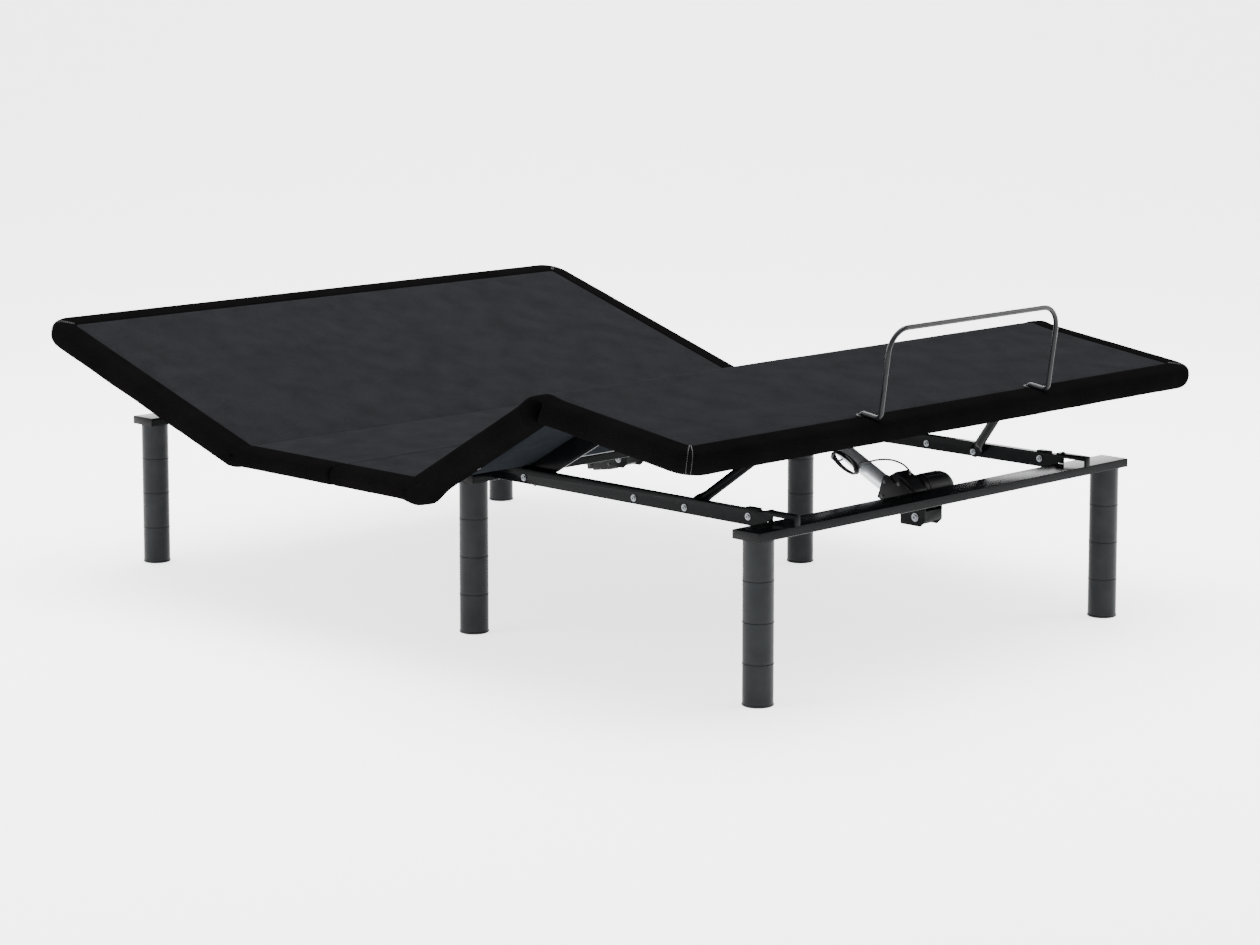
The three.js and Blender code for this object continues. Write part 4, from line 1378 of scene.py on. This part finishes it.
class BED_OT_knee_drive(bpy.types.Operator):
    """Linear drive that lifts the thigh section"""

    bl_idname = "bed.knee_drive"
    bl_label = "Knee Drive"

    def execute(self, context):
        make_drive("knee", KNEE_PIVOT, 0.4115, 0.305, "knee_drive", "knee_stem")
        return {"FINISHED"}


class BED_OT_head_drive(bpy.types.Operator):
    """Linear drive that lifts the head section"""

    bl_idname = "bed.head_drive"
    bl_label = "Head Drive"

    def execute(self, context):
        make_drive("head", HEAD_PIVOT, 0.3561, 0.255, "head_drive", "head_stem")
        return {"FINISHED"}


def spline(keys, steps):
    """Points of a smooth curve through keys."""
    keys = [Vector(k) for k in keys]
    padded = [keys[0] * 2 - keys[1], *keys, keys[-1] * 2 - keys[-2]]
    points = []
    for i in range(1, len(padded) - 2):
        a, b, c, d = padded[i - 1 : i + 3]
        for k in range(steps):
            t = k / steps
            points.append(0.5 * (
                2 * b + (c - a) * t + (2 * a - 5 * b + 4 * c - d) * t * t + (3 * b - a - 3 * c + d) * t ** 3
            ))
    points.append(keys[-1])
    return points


class BED_OT_motor_lead(bpy.types.Operator):
    """Motor lead: over to the tube, wound in a hank beside it and strapped"""

    bl_idname = "bed.motor_lead"
    bl_label = "Motor Lead"

    def execute(self, context):
        radius = context.scene.bed_drive.lead_radius
        keys = [
            (-0.004, 0.072, 0.0466), (-0.004, 0.074, 0.052), (-0.004, 0.084, 0.055), (-0.005, 0.100, 0.054),
            (-0.009, 0.120, 0.048), (-0.016, 0.140, 0.036), (-0.023, 0.155, 0.022), (-0.0286, 0.168, 0.010),
        ]
        for i in range(49):
            angle, drift = 2 * math.pi * i / 16, i / 48
            keys.append((
                -0.0286 - 0.0135 * drift, 0.195 - 0.034 * math.cos(angle + 0.5),
                -0.005 + (0.012 - 0.002 * drift) * math.sin(angle + 0.5),
            ))
        keys += [(-0.0421, 0.178, 0.012), (-0.0421, 0.196, 0.014)]
        path = spline(keys, 4)
        run = tilted(sweep(path, radius, 10), KNEE_PIVOT)
        piece = make_object("motor_lead_run", *run, [FINISH["lead"]], sharp=60)
        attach(piece, "knee_drive")
        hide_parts("motor_lead")
        gland = lathe(
            [
                (0.0020, 0.0), (0.0042, 0.0), (0.0042, 0.0026), (0.0030, 0.0034), (0.0024, 0.0090),
                (0.0020, 0.0092),
            ],
            (-0.004, 0.072, 0.0445), "Z", 20,
        )
        band = []
        loop = []
        for k in range(40):
            angle = 2 * math.pi * k / 40
            c, s = math.cos(angle), math.sin(angle)
            if c > -0.2:
                loop.append((DRIVE_X + 0.0172 * c, 0.0172 * s))
            else:
                loop.append((DRIVE_X - 0.0030 + 0.0355 * c, 0.0180 * s - 0.002))
        for along in (0.2205,):
            ring_out, ring_faces = [], []
            count = len(loop)
            for offset, grow in ((-0.0024, 1.0), (-0.0024, 1.05), (0.0024, 1.05), (0.0024, 1.0)):
                for px, pz in loop:
                    gx, gz = DRIVE_X + (px - DRIVE_X) * grow, pz * grow
                    ring_out.append(Vector((gx, along + offset, gz)))
            for i in range(4):
                for k in range(count):
                    n = (k + 1) % count
                    p, q = i * count, ((i + 1) % 4) * count
                    ring_faces.append([p + k, p + n, q + n, q + k])
            band.append(tilted((ring_out, ring_faces), KNEE_PIVOT))
            band.append(tilted(block(
                (DRIVE_X - 0.004, along - 0.0034, 0.0172), (DRIVE_X + 0.004, along + 0.0034, 0.0212),
                0.0008, 1,
            ), KNEE_PIVOT))
        tie = make_object("lead_ties", *join_parts(band), [FINISH["tie"]], sharp=40)
        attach(tie, "knee_drive")
        boot = make_object("lead_gland", *tilted(gland, KNEE_PIVOT), [FINISH["lead"]], sharp=50)
        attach(boot, "knee_drive")
        return {"FINISHED"}


class BED_OT_control_box(bpy.types.Operator):
    """Control box with its sockets, under the seat"""

    bl_idname = "bed.control_box"
    bl_label = "Control Box"

    def execute(self, context):
        z1 = 0.3377
        parts = [block((0.150, 0.205, z1 - 0.024), (0.330, 0.325, z1), 0.003, 3)]
        parts.append(block((0.1505, 0.2055, z1 - 0.044), (0.3295, 0.3245, z1 - 0.0245), 0.003, 3))
        for k in range(9):
            y = 0.222 + 0.0105 * k
            parts.append(block((0.176, y, z1 - 0.0452), (0.304, y + 0.004, z1 - 0.0436), 0.0006, 1))
        piece = make_object("control_housing", *join_parts(parts), [FINISH["plastic"]], sharp=30)
        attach(piece, "frame")
        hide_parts("control_box")
        sockets = []
        for k, wide in enumerate((0.012, 0.012, 0.009, 0.022)):
            x = 0.176 + 0.036 * k
            low, high = (x - wide / 2, 0.2036, z1 - 0.020), (x + wide / 2, 0.2062, z1 - 0.008)
            sockets.append(block(low, high, 0.0008, 2))
        plate = make_object("control_sockets", *join_parts(sockets), [FINISH["cap"]])
        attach(plate, "frame")
        spots = [((x, y, z1 - 0.0446), (0, 0, -1)) for x in (0.160, 0.320) for y in (0.215, 0.315)]
        bolts("control_screws", spots, "frame", 0.55)
        return {"FINISHED"}


class BED_OT_section_bolts(bpy.types.Operator):
    """Bolts of the head, thigh and foot frames"""

    bl_idname = "bed.section_bolts"
    bl_label = "Section Bolts"

    def execute(self, context):
        def screws(place, places):
            found = []
            for x, y in places:
                at = place(Vector((x, y, TOP - 0.0155)))
                below = place(Vector((x, y, TOP - 0.0165)))
                found.append((at, below - at))
            return found

        head = [(x, y) for x in (-0.420, 0.386) for y in (0.50, 0.64, 0.78, 0.92)]
        head += [(x, 0.948) for x in (-0.25, 0.0, 0.22)]
        bolts("head_frame_screws", screws(head_place, head), "head_section", 0.7)
        thigh = [(x, y) for x in (-0.420, 0.386) for y in (-0.14, -0.24, -0.34, -0.43)]
        bolts("thigh_frame_screws", screws(
            lambda p: about_x(p, (THIGH_HINGE, HINGE_Z), -THIGH_ANGLE), thigh), "thigh_section", 0.7)
        foot = [(x, y) for x in (-0.335, 0.302) for y in (-0.50, -0.58, -0.66, -0.72)]
        bolts("foot_frame_screws", screws(foot_place, foot), "foot_section", 0.7)
        out = []
        for x, way in ((-0.432, -1), (0.398, 1)):
            knee = about_x((x + way * 0.0006, *KNEE), (THIGH_HINGE, HINGE_Z), -THIGH_ANGLE)
            out.append((knee, (way, 0, 0)))
        bolts("knee_hinge_bolts", out, "thigh_section", 1.0)
        return {"FINISHED"}


def softened(name, body, radius):
    """Copy of a folded steel part with its sharp edges eased, standing for the part."""
    source = NODES[name]
    mesh = source.data.copy()
    mesh.name = name + "_eased"
    work = bmesh.new()
    work.from_mesh(mesh)
    bmesh.ops.remove_doubles(work, verts=work.verts[:], dist=0.00002)
    bmesh.ops.dissolve_limit(
        work, angle_limit=math.radians(1.0), verts=work.verts[:], edges=work.edges[:]
    )
    work.to_mesh(mesh)
    work.free()
    mesh.materials.clear()
    mesh.materials.append(FINISH["frame"])
    thing = bpy.data.objects.new(name + "_eased", mesh)
    bpy.context.scene.collection.objects.link(thing)
    bevel = thing.modifiers.new("Eased Edges", "BEVEL")
    bevel.width = radius
    bevel.segments = 2
    bevel.limit_method = "ANGLE"
    bevel.angle_limit = math.radians(40)
    bevel.use_clamp_overlap = True
    bpy.context.view_layer.update()
    graph = bpy.context.evaluated_depsgraph_get()
    result = bpy.data.meshes.new_from_object(thing.evaluated_get(graph))
    thing.modifiers.clear()
    thing.data = result
    result.polygons.foreach_set("use_smooth", [True] * len(result.polygons))
    result.set_sharp_from_angle(angle=math.radians(30))
    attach(thing, body)
    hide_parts(name)


class BED_OT_folded_steel(bpy.types.Operator):
    """Rails, brackets and section frames with eased edges"""

    bl_idname = "bed.folded_steel"
    bl_label = "Folded Steel"

    def execute(self, context):
        for name in ("left_side_rail", "right_side_rail", "knee_actuator_bracket", "head_actuator_bracket"):
            softened(name, "frame", 0.0007)
        for name in ("head", "thigh", "foot"):
            softened(name + "_frame", name + "_section", 0.0006)
        return {"FINISHED"}


class BED_OT_carried_nodes(bpy.types.Operator):
    """Finishes on the frame parts kept from the solid model"""

    bl_idname = "bed.carried_nodes"
    bl_label = "Frame Finishes"

    def execute(self, context):
        for name, thing in NODES.items():
            if "hinge_rod" in name or "board" in name:
                thing.data.materials.clear()
                thing.data.materials.append(FINISH["zinc" if "rod" in name else "dust"])
        return {"FINISHED"}


# ---------------------------------------------------------------- stage


class BED_OT_stage(bpy.types.Operator):
    """Floor, light and camera"""

    bl_idname = "bed.stage"
    bl_label = "Stage"

    def execute(self, context):
        scene = context.scene
        size, rise, back = 16.0, 7.0, 9.0
        floor_points, floor_faces = [], []
        profile = [(-size, 0.0), (back - 3.0, 0.0)]
        for k in range(1, 13):
            angle = math.pi / 2 * k / 12
            profile.append((back - 3.0 + 3.0 * math.sin(angle), 3.0 - 3.0 * math.cos(angle)))
        profile.append((back, rise))
        yaw = Matrix.Rotation(-CAMERA_YAW, 3, "Z")
        for along, up in profile:
            for x in (-size, size):
                spot = yaw @ Vector((x, along, up))
                floor_points.append((spot.x, spot.y - Y0, spot.z - 0.0002))
        for i in range(len(profile) - 1):
            a = 2 * i
            floor_faces.append([a, a + 1, a + 3, a + 2])
        # Seamless paper: matt white, with a little light of its own so that shadows stay pale.
        material, _, _ = blank_material("White Studio Paper", {
            "Roughness": 0.8, "Specular IOR Level": 0.15, "Base Color": scene.bed_colours.floor,
            "Emission Color": (1.0, 1.0, 1.0, 1.0), "Emission Strength": 2.2,
        })
        floor = make_object("studio_floor", floor_points, floor_faces, [material], sharp=80)
        world = bpy.data.worlds.new("Soft Studio")
        scene.world = world
        world.use_nodes = True
        back_light = world.node_tree.nodes["Background"]
        back_light.inputs["Color"].default_value = hex_colour("#f6f7f8")
        back_light.inputs["Strength"].default_value = 1.5

        for name, place, aim, width, height, power in LAMPS:
            data = bpy.data.lights.new(name, "AREA")
            data.shape = "RECTANGLE"
            data.size = width
            data.size_y = height
            data.energy = power
            thing = bpy.data.objects.new(name, data)
            thing.location = place
            way = Vector(aim) - Vector(place)
            thing.rotation_euler = way.to_track_quat("-Z", "Y").to_euler()
            scene.collection.objects.link(thing)
        lens = bpy.data.cameras.new("Camera")
        lens.lens = FOCAL_LENGTH_MM
        lens.sensor_width = 36.0
        lens.shift_y = FRAMING_SHIFT
        lens.clip_end = 100
        camera = bpy.data.objects.new("Camera", lens)
        camera.location = (CAMERA_PLACE[0], CAMERA_PLACE[1] + Y0, CAMERA_PLACE[2])
        level = math.cos(CAMERA_PITCH)
        way = Vector((math.sin(CAMERA_YAW) * level, math.cos(CAMERA_YAW) * level, -math.sin(CAMERA_PITCH)))
        camera.rotation_euler = way.to_track_quat("-Z", "Y").to_euler()
        scene.collection.objects.link(camera)
        scene.camera = camera
        return {"FINISHED"}


# ---------------------------------------------------------------- panel and run

PIECES = (
    BED_OT_legs, BED_OT_crossbars, BED_OT_rail_details, BED_OT_foot_links, BED_OT_head_cover,
    BED_OT_thigh_cover, BED_OT_foot_cover, BED_OT_hem_staples, BED_OT_retainer_bar,
    BED_OT_knee_drive, BED_OT_head_drive, BED_OT_motor_lead, BED_OT_control_box,
    BED_OT_section_bolts, BED_OT_folded_steel, BED_OT_carried_nodes, BED_OT_stage,
)


class BED_PT_panel(bpy.types.Panel):
    """Buttons that build the bed base"""

    bl_idname = "BED_PT_panel"
    bl_label = "Bed Base"
    bl_space_type = "VIEW_3D"
    bl_region_type = "UI"
    bl_category = "Bed Base"

    def draw(self, context):
        for group in (context.scene.bed_cover, context.scene.bed_frame, context.scene.bed_drive):
            box = self.layout.box()
            for key in group.__annotations__:
                box.prop(group, key)
        colours = self.layout.box()
        for key in context.scene.bed_colours.__annotations__:
            colours.prop(context.scene.bed_colours, key)
        for piece in PIECES:
            self.layout.operator(piece.bl_idname)


GROUPS = {
    "bed_cover": CoverSizes, "bed_frame": FrameSizes, "bed_drive": DriveSizes, "bed_colours": FinishColours,
}


def register():
    """Registers every class and the settings."""
    for name, group in GROUPS.items():
        bpy.utils.register_class(group)
        setattr(bpy.types.Scene, name, bpy.props.PointerProperty(type=group))
    for piece in PIECES:
        bpy.utils.register_class(piece)
    bpy.utils.register_class(BED_PT_panel)


def unregister():
    """Takes every class and setting away again."""
    bpy.utils.unregister_class(BED_PT_panel)
    for piece in reversed(PIECES):
        bpy.utils.unregister_class(piece)
    for name, group in GROUPS.items():
        delattr(bpy.types.Scene, name)
        bpy.utils.unregister_class(group)


def main():
    """Builds every piece and the stage."""
    register()
    make_finishes()
    TREES["bolts"] = bolt_tree()
    TREES["staples"] = staple_tree()
    for piece in PIECES:
        group, action = piece.bl_idname.split(".")
        getattr(getattr(bpy.ops, group), action)()


if __name__ == "__main__":
    main()
